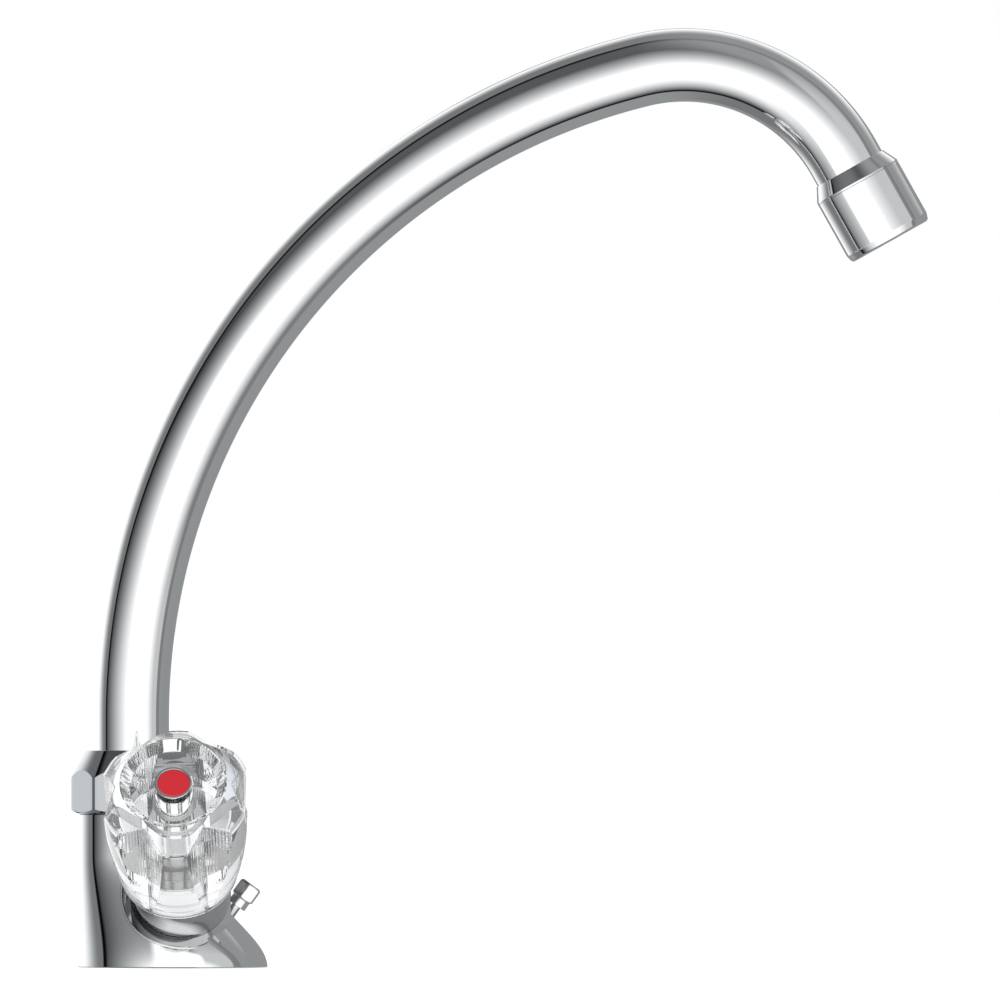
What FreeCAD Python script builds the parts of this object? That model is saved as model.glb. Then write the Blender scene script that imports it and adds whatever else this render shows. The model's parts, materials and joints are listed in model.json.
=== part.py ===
import FreeCAD, Part
import math
import os

import Sketcher
from FreeCAD import Placement, Rotation, Vector

# A deck-mounted mixer tap with a swivelling swan-neck spout and two inclined screw-down valves.
# Millimetres, +Z up. The origin is the centre of the round foot on the deck, +X is the way the
# spout reaches, the hot valve is at -Y and the cold valve at +Y.

doc = FreeCAD.newDocument("MixerTap")
sheet = doc.addObject("Spreadsheet::Sheet", "Sizes")
size_names = []


# Measures: a number together with the expression on the sheet that gives it

class Measure:
    """A number of the model and the text that works it out from the sheet."""

    def __init__(self, value, text):
        self.value = value
        self.text = text

    def __add__(self, other):
        other = as_measure(other)
        return Measure(self.value + other.value, f"({self.text} + {other.text})")

    def __sub__(self, other):
        other = as_measure(other)
        return Measure(self.value - other.value, f"({self.text} - {other.text})")

    def __rsub__(self, other):
        return as_measure(other) - self

    def __mul__(self, other):
        other = as_measure(other)
        return Measure(self.value * other.value, f"({self.text} * {other.text})")

    def __truediv__(self, other):
        other = as_measure(other)
        return Measure(self.value / other.value, f"({self.text} / {other.text})")

    __radd__ = __add__
    __rmul__ = __mul__

    def __neg__(self):
        return self * -1


def as_measure(item):
    """A plain number becomes a measure that is written as itself."""
    if isinstance(item, Measure):
        return item
    return Measure(float(item), f"({float(item):.6f})")


def sine(angle):
    """Sine of an angle in degrees."""
    angle = as_measure(angle)
    return Measure(math.sin(math.radians(angle.value)), f"sin({angle.text})")


def cosine(angle):
    """Cosine of an angle in degrees."""
    angle = as_measure(angle)
    return Measure(math.cos(math.radians(angle.value)), f"cos({angle.text})")


def size(name, value):
    """Write one driving dimension into the next row of the sheet and return it as a measure."""
    size_names.append(name)
    row = len(size_names)
    sheet.set(f"A{row}", name)
    sheet.set(f"B{row}", str(value))
    sheet.setAlias(f"B{row}", name)
    return Measure(float(value), f"Sizes.{name}")


# Driving dimensions that many pieces share: edges, thread ends and how far a cut runs past
edge_chamfer = size("edge_chamfer", 0.8)
thread_run_out = size("thread_run_out", 1.0)
cut_beyond = size("cut_beyond", 1.0)
running_gap = size("running_gap", 0.05)
ring_slack = size("ring_slack", 0.02)

# Foot, bell and column of the casting
base_radius = size("base_radius", 28.5)
column_radius = size("column_radius", 16.5)
flare_top = size("flare_top", 34.0)
column_top = size("column_top", 45.7)
spigot_top = size("spigot_top", 55.5)
union_radius = size("union_radius", 14.0)
socket_radius = size("socket_radius", 10.5)
socket_floor = size("socket_floor", 31.0)
mixing_radius = size("mixing_radius", 8.0)
mixing_floor = size("mixing_floor", 23.0)
bell_draw_in = size("bell_draw_in", 0.035)

# Underside: seal, water inlets and the fixing hole
seal_outer = size("seal_outer", 27.6)
seal_width = size("seal_width", 4.6)
seal_depth = size("seal_depth", 2.0)
inlet_forward = size("inlet_forward", 8.0)
inlet_side = size("inlet_side", 7.2)
inlet_bore = size("inlet_bore", 4.5)
inlet_top = size("inlet_top", 7.0)
feed_radius = size("feed_radius", 2.4)
blend_radius = size("blend_radius", 2.8)
stud_back = size("stud_back", 10.0)
stud_bore = size("stud_bore", 3.4)
stud_top = size("stud_top", 14.0)

# The two valve arms: each has an axis that rises outwards from the boss face
arm_tilt = size("arm_tilt", 34.0)
arm_sweep = size("arm_sweep", 1.9)
arm_forward = size("arm_forward", 2.5)
arm_side = size("arm_side", 17.5)
arm_height = size("arm_height", 20.75)
boss_radius = size("boss_radius", 14.9)
boss_root = size("boss_root", 12.0)
spotface_radius = size("spotface_radius", 17.2)
spotface_depth = size("spotface_depth", 2.4)
lip_clearance = size("lip_clearance", 1.0)

# Valve bore in the casting
valve_thread = size("valve_thread", 8.33)
valve_thread_depth = size("valve_thread_depth", 8.3)
chamber_radius = size("chamber_radius", 7.2)
chamber_depth = size("chamber_depth", 13.0)
seat_bore = size("seat_bore", 3.2)
seat_lip = size("seat_lip", 1.2)
seat_rise = size("seat_rise", 1.0)
seat_bore_depth = size("seat_bore_depth", 17.0)

# Headwork: gasket, bonnet, spindle, piston and washer
gasket_thickness = size("gasket_thickness", 0.8)
gasket_radius = size("gasket_radius", 12.5)
bonnet_flats = size("bonnet_flats", 22.0)
bonnet_hex_height = size("bonnet_hex_height", 5.2)
barrel_radius = size("barrel_radius", 9.0)
bonnet_shoulder = size("bonnet_shoulder", 28.3)
neck_radius = size("neck_radius", 6.45)
neck_height = size("neck_height", 2.7)
guide_flats = size("guide_flats", 10.1)
guide_top = size("guide_top", 9.1)
head_pocket = size("head_pocket", 3.9)
head_clearance = size("head_clearance", 0.3)
journal_radius = size("journal_radius", 3.95)
collar_radius = size("collar_radius", 4.6)
collar_height = size("collar_height", 1.4)
lead_thread = size("lead_thread", 2.85)
lead_end = size("lead_end", -3.0)
ring_groove_floor = size("ring_groove_floor", 14.0)
ring_wire = size("ring_wire", 0.69)
ring_play = size("ring_play", 0.5)
clip_radius = size("clip_radius", 5.6)
clip_groove = size("clip_groove", 3.3)
clip_thickness = size("clip_thickness", 0.9)
clip_opening = size("clip_opening", 4.6)
spline_length = size("spline_length", 12.2)
washer_radius = size("washer_radius", 5.5)
washer_thickness = size("washer_thickness", 2.35)
head_radius = size("head_radius", 5.8)
head_thickness = size("head_thickness", 1.2)
piston_top = size("piston_top", 2.5)
piston_bore_floor = size("piston_bore_floor", -7.0)
washer_screw_radius = size("washer_screw_radius", 1.5)
washer_screw_head = size("washer_screw_head", 2.4)
washer_screw_rise = size("washer_screw_rise", 1.3)

# Sleeve over the headwork
sleeve_radius = size("sleeve_radius", 15.0)
sleeve_wall = size("sleeve_wall", 1.2)
sleeve_seam = size("sleeve_seam", 0.3)
sleeve_web = size("sleeve_web", 2.0)
sleeve_bevel = size("sleeve_bevel", 1.0)

# Clear handle with its insert, screw and index cap
grip_foot = size("grip_foot", 15.1)
grip_top = size("grip_top", 62.6)
grip_foot_radius = size("grip_foot_radius", 16.5)
grip_foot_bevel = size("grip_foot_bevel", 0.5)
grip_lobe_foot = size("grip_lobe_foot", 17.6)
grip_lobe_radius = size("grip_lobe_radius", 22.4)
grip_bevel_radius = size("grip_bevel_radius", 16.0)
grip_bevel_depth = size("grip_bevel_depth", 6.7)
grip_barrel_arc = size("grip_barrel_arc", 250.0)
grip_valley_radius = size("grip_valley_radius", 17.5)
grip_valley_half = size("grip_valley_half", 20.5)
grip_lobes = size("grip_lobes", 6)
grip_clearance = size("grip_clearance", 0.5)
grip_web_floor = size("grip_web_floor", 33.0)
grip_web_top = size("grip_web_top", 46.0)
grip_dish_radius = size("grip_dish_radius", 15.6)
grip_dish_floor = size("grip_dish_floor", 13.0)
grip_dish_depth = size("grip_dish_depth", 2.7)
insert_radius = size("insert_radius", 6.5)
insert_step = size("insert_step", 1.0)
insert_waist = size("insert_waist", 3.4)
insert_roof = size("insert_roof", 1.5)
screw_radius = size("screw_radius", 2.0)
screw_head_radius = size("screw_head_radius", 3.5)
screw_head_height = size("screw_head_height", 2.4)
screw_reach = size("screw_reach", 10.0)
screw_slot_half = size("screw_slot_half", 0.5)
screw_slot_depth = size("screw_slot_depth", 1.2)
cap_radius = size("cap_radius", 5.6)
cap_plug_depth = size("cap_plug_depth", 6.5)
cap_rise = size("cap_rise", 0.1)
cap_rim = size("cap_rim", 0.8)
cap_wall = size("cap_wall", 1.2)
cap_edge = size("cap_edge", 0.2)
disc_sink = size("disc_sink", 0.5)
disc_bevel = size("disc_bevel", 0.4)
disc_edge_drop = size("disc_edge_drop", 0.15)
disc_crown = size("disc_crown", 0.05)

# Union nut and the foot of the spout
nut_sides = size("nut_sides", 8)
nut_flats = size("nut_flats", 34.5)
nut_radius = size("nut_radius", 18.45)
nut_turn = size("nut_turn", 51.6)
nut_height = size("nut_height", 19.3)
nut_cone_height = size("nut_cone_height", 8.0)
nut_top_radius = size("nut_top_radius", 13.9)
nut_foot_radius = size("nut_foot_radius", 16.0)
nut_foot_chamfer = size("nut_foot_chamfer", 1.5)
nut_roof = size("nut_roof", 2.4)
nut_bore = size("nut_bore", 13.2)
glide_thickness = size("glide_thickness", 0.8)
washer_inner_play = size("washer_inner_play", 0.3)
washer_outer_play = size("washer_outer_play", 0.2)
flange_radius = size("flange_radius", 12.9)
flange_height = size("flange_height", 3.75)
slip_thickness = size("slip_thickness", 2.4)
bush_foot = size("bush_foot", 33.0)
bush_bore = size("bush_bore", 7.8)
tube_seat = size("tube_seat", 57.2)
bush_ring_wire = size("bush_ring_wire", 0.75)
bush_ring_low = size("bush_ring_low", 37.2)
bush_ring_pitch = size("bush_ring_pitch", 9.0)
bush_ring_play = size("bush_ring_play", 0.2)

# Spout tube: riser, long sweep, tight crook and straight end
tube_radius = size("tube_radius", 11.0)
tube_wall = size("tube_wall", 1.0)
tube_gap = size("tube_gap", 0.3)
riser_top = size("riser_top", 74.6)
sweep_radius = size("sweep_radius", 200.0)
sweep_angle = size("sweep_angle", 76.2)
crook_radius = size("crook_radius", 55.0)
crook_angle = size("crook_angle", 74.5)
tail_length = size("tail_length", 3.4)

# Outlet: collar, aerator housing and what it holds
collar_length = size("collar_length", 5.0)
collar_socket = size("collar_socket", 3.0)
collar_bore = size("collar_bore", 9.0)
collar_edge = size("collar_edge", 0.35)
collar_band = size("collar_band", 0.6)
nozzle_thread = size("nozzle_thread", 12.0)
nozzle_thread_length = size("nozzle_thread_length", 6.0)
housing_radius = size("housing_radius", 13.65)
housing_length = size("housing_length", 20.0)
housing_bevel = size("housing_bevel", 2.3)
housing_mouth_radius = size("housing_mouth_radius", 13.1)
housing_bore = size("housing_bore", 11.2)
housing_lip = size("housing_lip", 1.6)
housing_mouth = size("housing_mouth", 9.6)
housing_edge_height = size("housing_edge_height", 0.5)
housing_edge_width = size("housing_edge_width", 0.6)
aerator_washer_thickness = size("aerator_washer_thickness", 1.5)
insert_wall = size("insert_wall", 1.4)
insert_plate = size("insert_plate", 2.0)
insert_hole = size("insert_hole", 1.1)
insert_hole_ring = size("insert_hole_ring", 5.6)
insert_hole_count = size("insert_hole_count", 12)
screen_radius = size("screen_radius", 10.4)
screen_thickness = size("screen_thickness", 0.6)
screen_hole = size("screen_hole", 0.95)
screen_pitch = size("screen_pitch", 2.8)

# Chain stay at the front of the bell
stay_tilt = size("stay_tilt", 54.0)
stay_height = size("stay_height", 16.6)
stay_proud = size("stay_proud", 1.0)
stay_shank = size("stay_shank", 1.5)
stay_thread_depth = size("stay_thread_depth", 6.0)
stay_run_out = size("stay_run_out", 0.5)
stay_neck = size("stay_neck", 2.2)
stay_collar_radius = size("stay_collar_radius", 2.9)
stay_collar_height = size("stay_collar_height", 2.6)
stay_head_flats = size("stay_head_flats", 6.6)
stay_head_turn = size("stay_head_turn", 22.0)
stay_head_height = size("stay_head_height", 5.3)
stay_head_chamfer = size("stay_head_chamfer", 0.5)

doc.recompute()

# Places that follow from the sizes above
column_back = column_radius - base_radius
nut_top = column_top + nut_height
flange_foot = spigot_top + glide_thickness + running_gap
flange_top = flange_foot + flange_height
bonnet_top = bonnet_shoulder + neck_height
bonnet_foot = -valve_thread_depth
seat_plane = seat_rise - chamber_depth
washer_foot = seat_plane + running_gap
head_foot = washer_foot + washer_thickness
head_top = head_foot + head_thickness
clip_foot = bonnet_top + running_gap * 2
spline_foot = clip_foot + clip_thickness
spline_top = spline_foot + spline_length
insert_top = grip_web_top
turn_angle = sweep_angle + crook_angle
crook_out = sweep_radius * (1 - cosine(sweep_angle))
crook_up = riser_top + sweep_radius * sine(sweep_angle)
tail_out = crook_out + crook_radius * (cosine(sweep_angle) - cosine(turn_angle))
tail_up = crook_up + crook_radius * (sine(turn_angle) - sine(sweep_angle))
outlet_out = tail_out + tail_length * sine(turn_angle)
outlet_up = tail_up + tail_length * cosine(turn_angle)
housing_end = collar_length + housing_length


# Drawing: outlines whose every corner is bound to the sheet

def bind(item, path, measure):
    """Give one property of an object the expression of a measure."""
    item.setExpression(path, as_measure(measure).text)


def new_body(label):
    """An empty body that carries the name of its piece."""
    body = doc.addObject("PartDesign::Body", label)
    body.Label = label
    return body


def new_sketch(body, name, role, lift=0):
    """A sketch on one of the body's own planes, raised by a measure along that plane's normal."""
    sketch = body.newObject("Sketcher::SketchObject", name)
    plane = next(item for item in body.Origin.OriginFeatures if item.Role == role)
    sketch.AttachmentSupport = [(plane, "")]
    sketch.MapMode = "FlatFace"
    bind(sketch, "AttachmentOffset.Base.z", lift)
    return sketch


def pin(sketch, geometry, position, axis, measure):
    """Hold one coordinate of a point at a measure, or on the axis where the measure is nought."""
    measure = as_measure(measure)
    if measure.value == 0 and "Sizes" not in measure.text:
        line = -2 if axis == "X" else -1
        sketch.addConstraint(Sketcher.Constraint("PointOnObject", geometry, position, line))
        return
    rule = Sketcher.Constraint("Distance" + axis, -1, 1, geometry, position, measure.value)
    index = sketch.addConstraint(rule)
    sketch.setExpression(f"Constraints[{index}]", measure.text)


def arc_between(start, end, radius):
    """The shorter arc from start to end: it turns left where the radius is above nought."""
    chord = end - start
    middle = (start + end) * 0.5
    left = Vector(-chord.y, chord.x, 0).normalize()
    rise = math.sqrt(radius * radius - chord.Length ** 2 / 4)
    centre = middle + left * (rise if radius > 0 else -rise)
    first, last = (start, end) if radius > 0 else (end, start)
    from_angle = math.atan2(first.y - centre.y, first.x - centre.x)
    to_angle = math.atan2(last.y - centre.y, last.x - centre.x)
    if to_angle < from_angle:
        to_angle += 2 * math.pi
    circle = Part.Circle(centre, Vector(0, 0, 1), abs(radius))
    return Part.ArcOfCircle(circle, from_angle, to_angle)


def draw_outline(sketch, corners, closed=True):
    """Lines and arcs through corners given as (across, along) or (across, along, arc radius)."""
    points = [Vector(as_measure(c[0]).value, as_measure(c[1]).value, 0) for c in corners]
    count = len(corners) if closed else len(corners) - 1
    ends = []
    for i in range(count):
        start = points[i]
        end = points[(i + 1) % len(points)]
        bend = as_measure(corners[i][2]) if len(corners[i]) > 2 else as_measure(0)
        if bend.value:
            geometry = sketch.addGeometry(arc_between(start, end, bend.value))
            ends.append((geometry, 1, 2) if bend.value > 0 else (geometry, 2, 1))
            index = sketch.addConstraint(Sketcher.Constraint("Radius", geometry, abs(bend.value)))
            sketch.setExpression(f"Constraints[{index}]", f"abs({bend.text})")
        else:
            geometry = sketch.addGeometry(Part.LineSegment(start, end))
            ends.append((geometry, 1, 2))
    for i in range(count):
        geometry, first, last = ends[i]
        pin(sketch, geometry, first, "X", corners[i][0])
        pin(sketch, geometry, first, "Y", corners[i][1])
        if closed or i + 1 < count:
            following, start, _ = ends[(i + 1) % count]
            rule = Sketcher.Constraint("Coincident", geometry, last, following, start)
            sketch.addConstraint(rule)
        else:
            pin(sketch, geometry, last, "X", corners[-1][0])
            pin(sketch, geometry, last, "Y", corners[-1][1])


def draw_circle(sketch, radius, across=0, along=0):
    """A circle with its centre and radius bound."""
    radius = as_measure(radius)
    centre = Vector(as_measure(across).value, as_measure(along).value, 0)
    circle = Part.Circle(centre, Vector(0, 0, 1), radius.value)
    geometry = sketch.addGeometry(circle)
    pin(sketch, geometry, 3, "X", across)
    pin(sketch, geometry, 3, "Y", along)
    index = sketch.addConstraint(Sketcher.Constraint("Radius", geometry, radius.value))
    sketch.setExpression(f"Constraints[{index}]", radius.text)


def corner_reach(across_flats, sides=6):
    """Distance from the middle of a regular polygon to its corners."""
    return across_flats / 2 / cosine(180 / sides)


def polygon(across_flats, turn=0, sides=6):
    """The corners of a regular polygon, the first one at a turn from the body's X axis."""
    reach = corner_reach(across_flats, sides)
    turns = [turn + 360 / sides * k for k in range(sides)]
    return [(reach * cosine(angle), reach * sine(angle)) for angle in turns]


def revolve(body, corners, name="Turned"):
    """Turn an outline of (radius, height) corners round the body's own Z axis."""
    sketch = new_sketch(body, name + "Outline", "XZ_Plane")
    draw_outline(sketch, corners)
    feature = body.newObject("PartDesign::Revolution", name)
    feature.Profile = sketch
    feature.ReferenceAxis = (sketch, ["V_Axis"])
    feature.Angle = 360
    doc.recompute()
    return feature


def pocket_up(body, name, foot, height, draw):
    """Cut what draw puts into a sketch at one height upwards by a height."""
    sketch = new_sketch(body, name + "Outline", "XY_Plane", foot)
    draw(sketch)
    feature = body.newObject("PartDesign::Pocket", name)
    feature.Profile = sketch
    bind(feature, "Length", height)
    feature.Reversed = True
    doc.recompute()
    return feature


def cut_through(body, name, foot, height, draw):
    """Cut what draw puts into a sketch right through a layer, running past both its faces."""
    return pocket_up(body, name, foot - cut_beyond, height + cut_beyond * 2, draw)


def cut_flats(body, across_flats, foot, height, turn=0, sides=6):
    """Cut a turned piece to a regular polygon over part of its height."""
    def draw(sketch):
        draw_outline(sketch, polygon(across_flats, turn, sides))
        draw_circle(sketch, corner_reach(across_flats, sides) + cut_beyond)
    pocket_up(body, "Flats", foot, height, draw)


def repeat_round(body, cut, count):
    """Repeat a cut at equal steps round the body's own Z axis."""
    pattern = body.newObject("PartDesign::PolarPattern", "Round")
    pattern.Originals = [cut]
    pattern.Axis = (cut.Profile[0], ["N_Axis"])
    pattern.Angle = 360
    bind(pattern, "Occurrences", count)
    body.Tip = pattern
    doc.recompute()


def turned(label, corners):
    """A piece that is turned from one outline."""
    body = new_body(label)
    revolve(body, corners)
    return body


def tube_outline(inner, outer, foot, top):
    """The four corners of a plain ring."""
    return [(inner, foot), (outer, foot), (outer, top), (inner, top)]


# Seats: where a piece that is made round its own Z axis stands in the tap

def seat(item, forward, side, up, axis=Vector(0, 0, 1), angle=0):
    """Place an object's own frame, turned about one axis."""
    angle = as_measure(angle)
    item.Placement = Placement(Vector(), Rotation(axis, angle.value or 1))
    bind(item, "Placement.Base.x", forward)
    bind(item, "Placement.Base.y", side)
    bind(item, "Placement.Base.z", up)
    bind(item, "Placement.Rotation.Angle", angle)


def seat_on_column(item):
    """The spout's axis, straight up from the deck."""
    seat(item, column_back, 0, 0)


def along_arm(side, distance):
    """Forward, side and up of a point on a valve axis: it rises outwards and is swept back a little."""
    level = cosine(arm_tilt) * distance
    forward = arm_forward - level * sine(arm_sweep)
    out = arm_side + level * cosine(arm_sweep)
    return forward, out * side, arm_height + sine(arm_tilt) * distance


def slide_along_arm(item, side, distance):
    """Seat an object on a valve axis, some way along it from the boss face."""
    seat(item, *along_arm(side, distance), Vector(-side, 0, 0), 90 - arm_tilt)
    bind(item, "Placement.Rotation.Axis.x", cosine(arm_sweep) * -side)
    bind(item, "Placement.Rotation.Axis.y", sine(arm_sweep) * -1)


def on_arm(side, distance):
    """A point on a valve axis, as a plain vector."""
    return Vector(*[part.value for part in along_arm(side, distance)])


def seat_on_arm(item, side):
    """The valve axis of one side, from the centre of its boss face: -1 is hot, +1 is cold."""
    slide_along_arm(item, side, 0)


def seat_on_outlet(item):
    """The end of the tube, with Z the way the water leaves."""
    seat(item, column_back + outlet_out, 0, outlet_up, Vector(0, 1, 0), turn_angle)


def bell_radius(share):
    """Radius of the bell at a share of its height: a cosine from foot to column, drawn in low."""
    turn = share * 180
    fall = (1 + cosine(turn)) / 2 - bell_draw_in * sine(turn * 2) * sine(turn)
    return column_radius + (base_radius - column_radius) * fall


def seat_on_stay(item):
    """The chain stay's axis, from just outside the front of the bell at the stay's height."""
    front = bell_radius(stay_height / flare_top) * 2 - base_radius
    seat(item, front + stay_proud, 0, stay_height, Vector(0, 1, 0), 90 - stay_tilt)


def cylinder(name, radius, foot, top):
    """A plain cylinder along its own Z from foot to top; the seat is given after it."""
    item = doc.addObject("Part::Cylinder", name)
    bind(item, "Radius", radius)
    bind(item, "Height", as_measure(top) - foot)
    return item


def passage(name, radius, start, end):
    """A round water passage between two points of the casting."""
    way = end - start
    item = doc.addObject("Part::Cylinder", name)
    bind(item, "Radius", radius)
    item.Height = way.Length
    item.Placement = Placement(start, Rotation(Vector(0, 0, 1), way))
    return item


def boolean(kind, label, shapes):
    """Fuse several solids, or cut the second from the first."""
    item = doc.addObject(kind, label)
    item.Label = label
    if kind == "Part::Cut":
        item.Base, item.Tool = shapes
    else:
        item.Shapes = shapes
    return item


# Casting

def make_bell():
    """The bell: level circles that all touch one upright line at the back, and the column."""
    stations = 11
    circles = []
    for i in range(stations):
        share = i / (stations - 1)
        circle = doc.addObject("Part::Circle", f"BellStation{i}")
        radius = bell_radius(share)
        bind(circle, "Radius", radius)
        seat(circle, radius - base_radius, 0, flare_top * share)
        circles.append(circle)
    bell = doc.addObject("Part::Loft", "Bell")
    bell.Sections = circles
    bell.Solid = True
    bell.Ruled = False
    column = cylinder("Column", column_radius, flare_top, column_top)
    seat(column, column_back, 0, flare_top)
    spigot = cylinder("Spigot", union_radius - running_gap, column_top, spigot_top)
    seat(spigot, column_back, 0, column_top)
    return boolean("Part::MultiFuse", "BellAndColumn", [bell, column, spigot])


def make_arm(side, name):
    """One valve arm: the spot face cut into the bell, the boss, and the bore that it holds."""
    spotface = cylinder(name + "SpotFace", spotface_radius, -spotface_depth, grip_foot)
    slide_along_arm(spotface, side, -spotface_depth)
    boss = cylinder(name + "Boss", boss_radius, -boss_root, 0)
    slide_along_arm(boss, side, -boss_root)
    bore = turned(name + "ValveBore", [
        (0, -seat_bore_depth),
        (seat_bore, -seat_bore_depth),
        (seat_bore, seat_plane),
        (seat_bore + seat_lip, seat_plane),
        (seat_bore + seat_lip, -chamber_depth),
        (chamber_radius, -chamber_depth),
        (chamber_radius, bonnet_foot),
        (valve_thread, bonnet_foot),
        (valve_thread, gasket_thickness),
        (0, gasket_thickness)])
    seat_on_arm(bore, side)
    return spotface, boss, bore


def make_waterways(side, name):
    """Inlet, feed to the seat and passage from the valve chamber to the mixing chamber."""
    inlet = cylinder(name + "Inlet", inlet_bore, 0, inlet_top)
    seat(inlet, inlet_forward, inlet_side * side, 0)
    below_seat = on_arm(side, feed_radius.value / 2 - seat_bore_depth.value)
    inlet_end = Vector(inlet_forward.value, side * inlet_side.value, (inlet_top - cut_beyond).value)
    feed = passage(name + "Feed", feed_radius, inlet_end, below_seat)
    chamber_middle = (bonnet_foot.value - chamber_depth.value) / 2
    chamber = on_arm(side, chamber_middle)
    mixing = Vector(column_back.value, 0, (mixing_floor.value + socket_floor.value) / 2)
    way = (mixing - chamber).normalize()
    outside_lip = chamber + way * (seat_bore + seat_lip + lip_clearance).value
    blend = passage(name + "Blend", blend_radius, outside_lip, mixing)
    return [inlet, feed, blend]


def make_casting():
    """Bell, column and bosses in one casting, with every bore and thread that it holds."""
    shell = make_bell()
    hot_spotface, hot_boss, hot_bore = make_arm(-1, "Hot")
    cold_spotface, cold_boss, cold_bore = make_arm(1, "Cold")
    spotfaces = boolean("Part::MultiFuse", "SpotFaces", [hot_spotface, cold_spotface])
    faced = boolean("Part::Cut", "FacedBell", [shell, spotfaces])
    outside = boolean("Part::MultiFuse", "CastingOutside", [faced, hot_boss, cold_boss])
    socket = cylinder("Socket", socket_radius, socket_floor, spigot_top + cut_beyond)
    seat(socket, column_back, 0, socket_floor)
    mixing = cylinder("Mixing", mixing_radius, mixing_floor, socket_floor)
    seat(mixing, column_back, 0, mixing_floor)
    stud = cylinder("StudBore", stud_bore, 0, stud_top)
    seat(stud, -stud_back, 0, 0)
    groove = turned("SealGroove", tube_outline(
        seal_outer - seal_width, seal_outer, 0, seal_depth))
    stay = turned("StayBore", [
        (0, -stay_thread_depth - stay_run_out),
        (stay_shank, -stay_thread_depth - stay_run_out),
        (stay_shank, stay_neck),
        (0, stay_neck)])
    seat_on_stay(stay)
    bores = [hot_bore, cold_bore, socket, mixing, stud, groove, stay]
    bores += make_waterways(-1, "Hot") + make_waterways(1, "Cold")
    inside = boolean("Part::MultiFuse", "CastingInside", bores)
    return boolean("Part::Cut", "body_casting", [outside, inside])


def make_base_seal():
    """Rubber ring in the groove of the foot, flush with it as it is when bolted down."""
    return turned("base_seal", tube_outline(
        seal_outer - seal_width, seal_outer, 0, seal_depth))


# Headwork of one side

def make_bonnet(side, name):
    """Brass headwork body: thread, hexagon, barrel and neck, with a hexagonal guide inside."""
    body = new_body(name + "_bonnet")
    hex_foot = gasket_thickness
    hex_top = hex_foot + bonnet_hex_height
    hex_reach = corner_reach(bonnet_flats)
    pocket_top = bonnet_foot + head_pocket
    pocket_radius = head_radius + head_clearance
    journal = journal_radius + running_gap
    revolve(body, [
        (pocket_radius, bonnet_foot),
        (valve_thread, bonnet_foot),
        (valve_thread, hex_foot),
        (hex_reach, hex_foot),
        (hex_reach, hex_top - edge_chamfer),
        (hex_reach - edge_chamfer, hex_top),
        (barrel_radius, hex_top),
        (barrel_radius, bonnet_shoulder),
        (neck_radius, bonnet_shoulder),
        (neck_radius, bonnet_top),
        (journal, bonnet_top),
        (journal, pocket_top),
        (pocket_radius, pocket_top)])
    cut_flats(body, bonnet_flats, hex_foot, bonnet_hex_height)
    pocket_up(body, "Guide", pocket_top, guide_top - pocket_top,
              lambda sketch: draw_outline(sketch, polygon(guide_flats)))
    seat_on_arm(body, side)
    return body


def make_bonnet_gasket(side, name):
    """Fibre ring between the boss face and the bonnet."""
    body = turned(name + "_bonnet_gasket", tube_outline(
        valve_thread, gasket_radius, 0, gasket_thickness))
    seat_on_arm(body, side)
    return body


def make_sleeve(side, name):
    """Chromed sleeve that hides the headwork and rests with its web on the bonnet's shoulder."""
    inner = sleeve_radius - sleeve_wall
    top = bonnet_shoulder + sleeve_web
    body = turned(name + "_sleeve", [
        (neck_radius, bonnet_shoulder),
        (inner, bonnet_shoulder),
        (inner, sleeve_seam),
        (sleeve_radius, sleeve_seam),
        (sleeve_radius, top - sleeve_bevel),
        (sleeve_radius - sleeve_bevel, top),
        (neck_radius, top)])
    seat_on_arm(body, side)
    return body


def make_spindle(side, name):
    """Spindle that turns in the bonnet and does not rise: lead thread, collar, journal, spline."""
    groove_floor = journal_radius - ring_wire * 2 + ring_slack
    groove_top = ring_groove_floor + (ring_wire + ring_play) * 2
    collar_top = guide_top - running_gap
    collar_foot = collar_top - collar_height
    body = turned(name + "_spindle", [
        (0, lead_end),
        (lead_thread, lead_end),
        (lead_thread, collar_foot),
        (collar_radius, collar_foot),
        (collar_radius, collar_top),
        (journal_radius, collar_top),
        (journal_radius, ring_groove_floor),
        (groove_floor, ring_groove_floor),
        (groove_floor, groove_top),
        (journal_radius, groove_top),
        (journal_radius, clip_foot),
        (clip_groove, clip_foot),
        (clip_groove, spline_foot),
        (journal_radius, spline_foot),
        (journal_radius, spline_top),
        (screw_radius, spline_top),
        (screw_radius, insert_top - screw_reach - thread_run_out),
        (0, insert_top - screw_reach - thread_run_out)])
    seat_on_arm(body, side)
    return body


def make_spindle_ring(side, name):
    """Rubber ring in the spindle's groove."""
    ring = doc.addObject("Part::Torus", name + "_spindle_o_ring")
    ring.Label = name + "_spindle_o_ring"
    bind(ring, "Radius1", journal_radius + ring_slack - ring_wire)
    bind(ring, "Radius2", ring_wire)
    slide_along_arm(ring, side, ring_groove_floor + ring_wire + ring_play)
    return ring


def make_spindle_clip(side, name):
    """Open spring clip in the spindle's groove, above the neck of the bonnet."""
    body = new_body(name + "_spindle_clip")
    revolve(body, tube_outline(clip_groove, clip_radius, clip_foot, spline_foot))
    half = clip_opening / 2

    def mouth(sketch):
        beyond = clip_radius + cut_beyond
        draw_outline(sketch, [(0, -half), (beyond, -half), (beyond, half), (0, half)])
    cut_through(body, "Mouth", clip_foot, clip_thickness, mouth)
    seat_on_arm(body, side)
    return body


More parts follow.
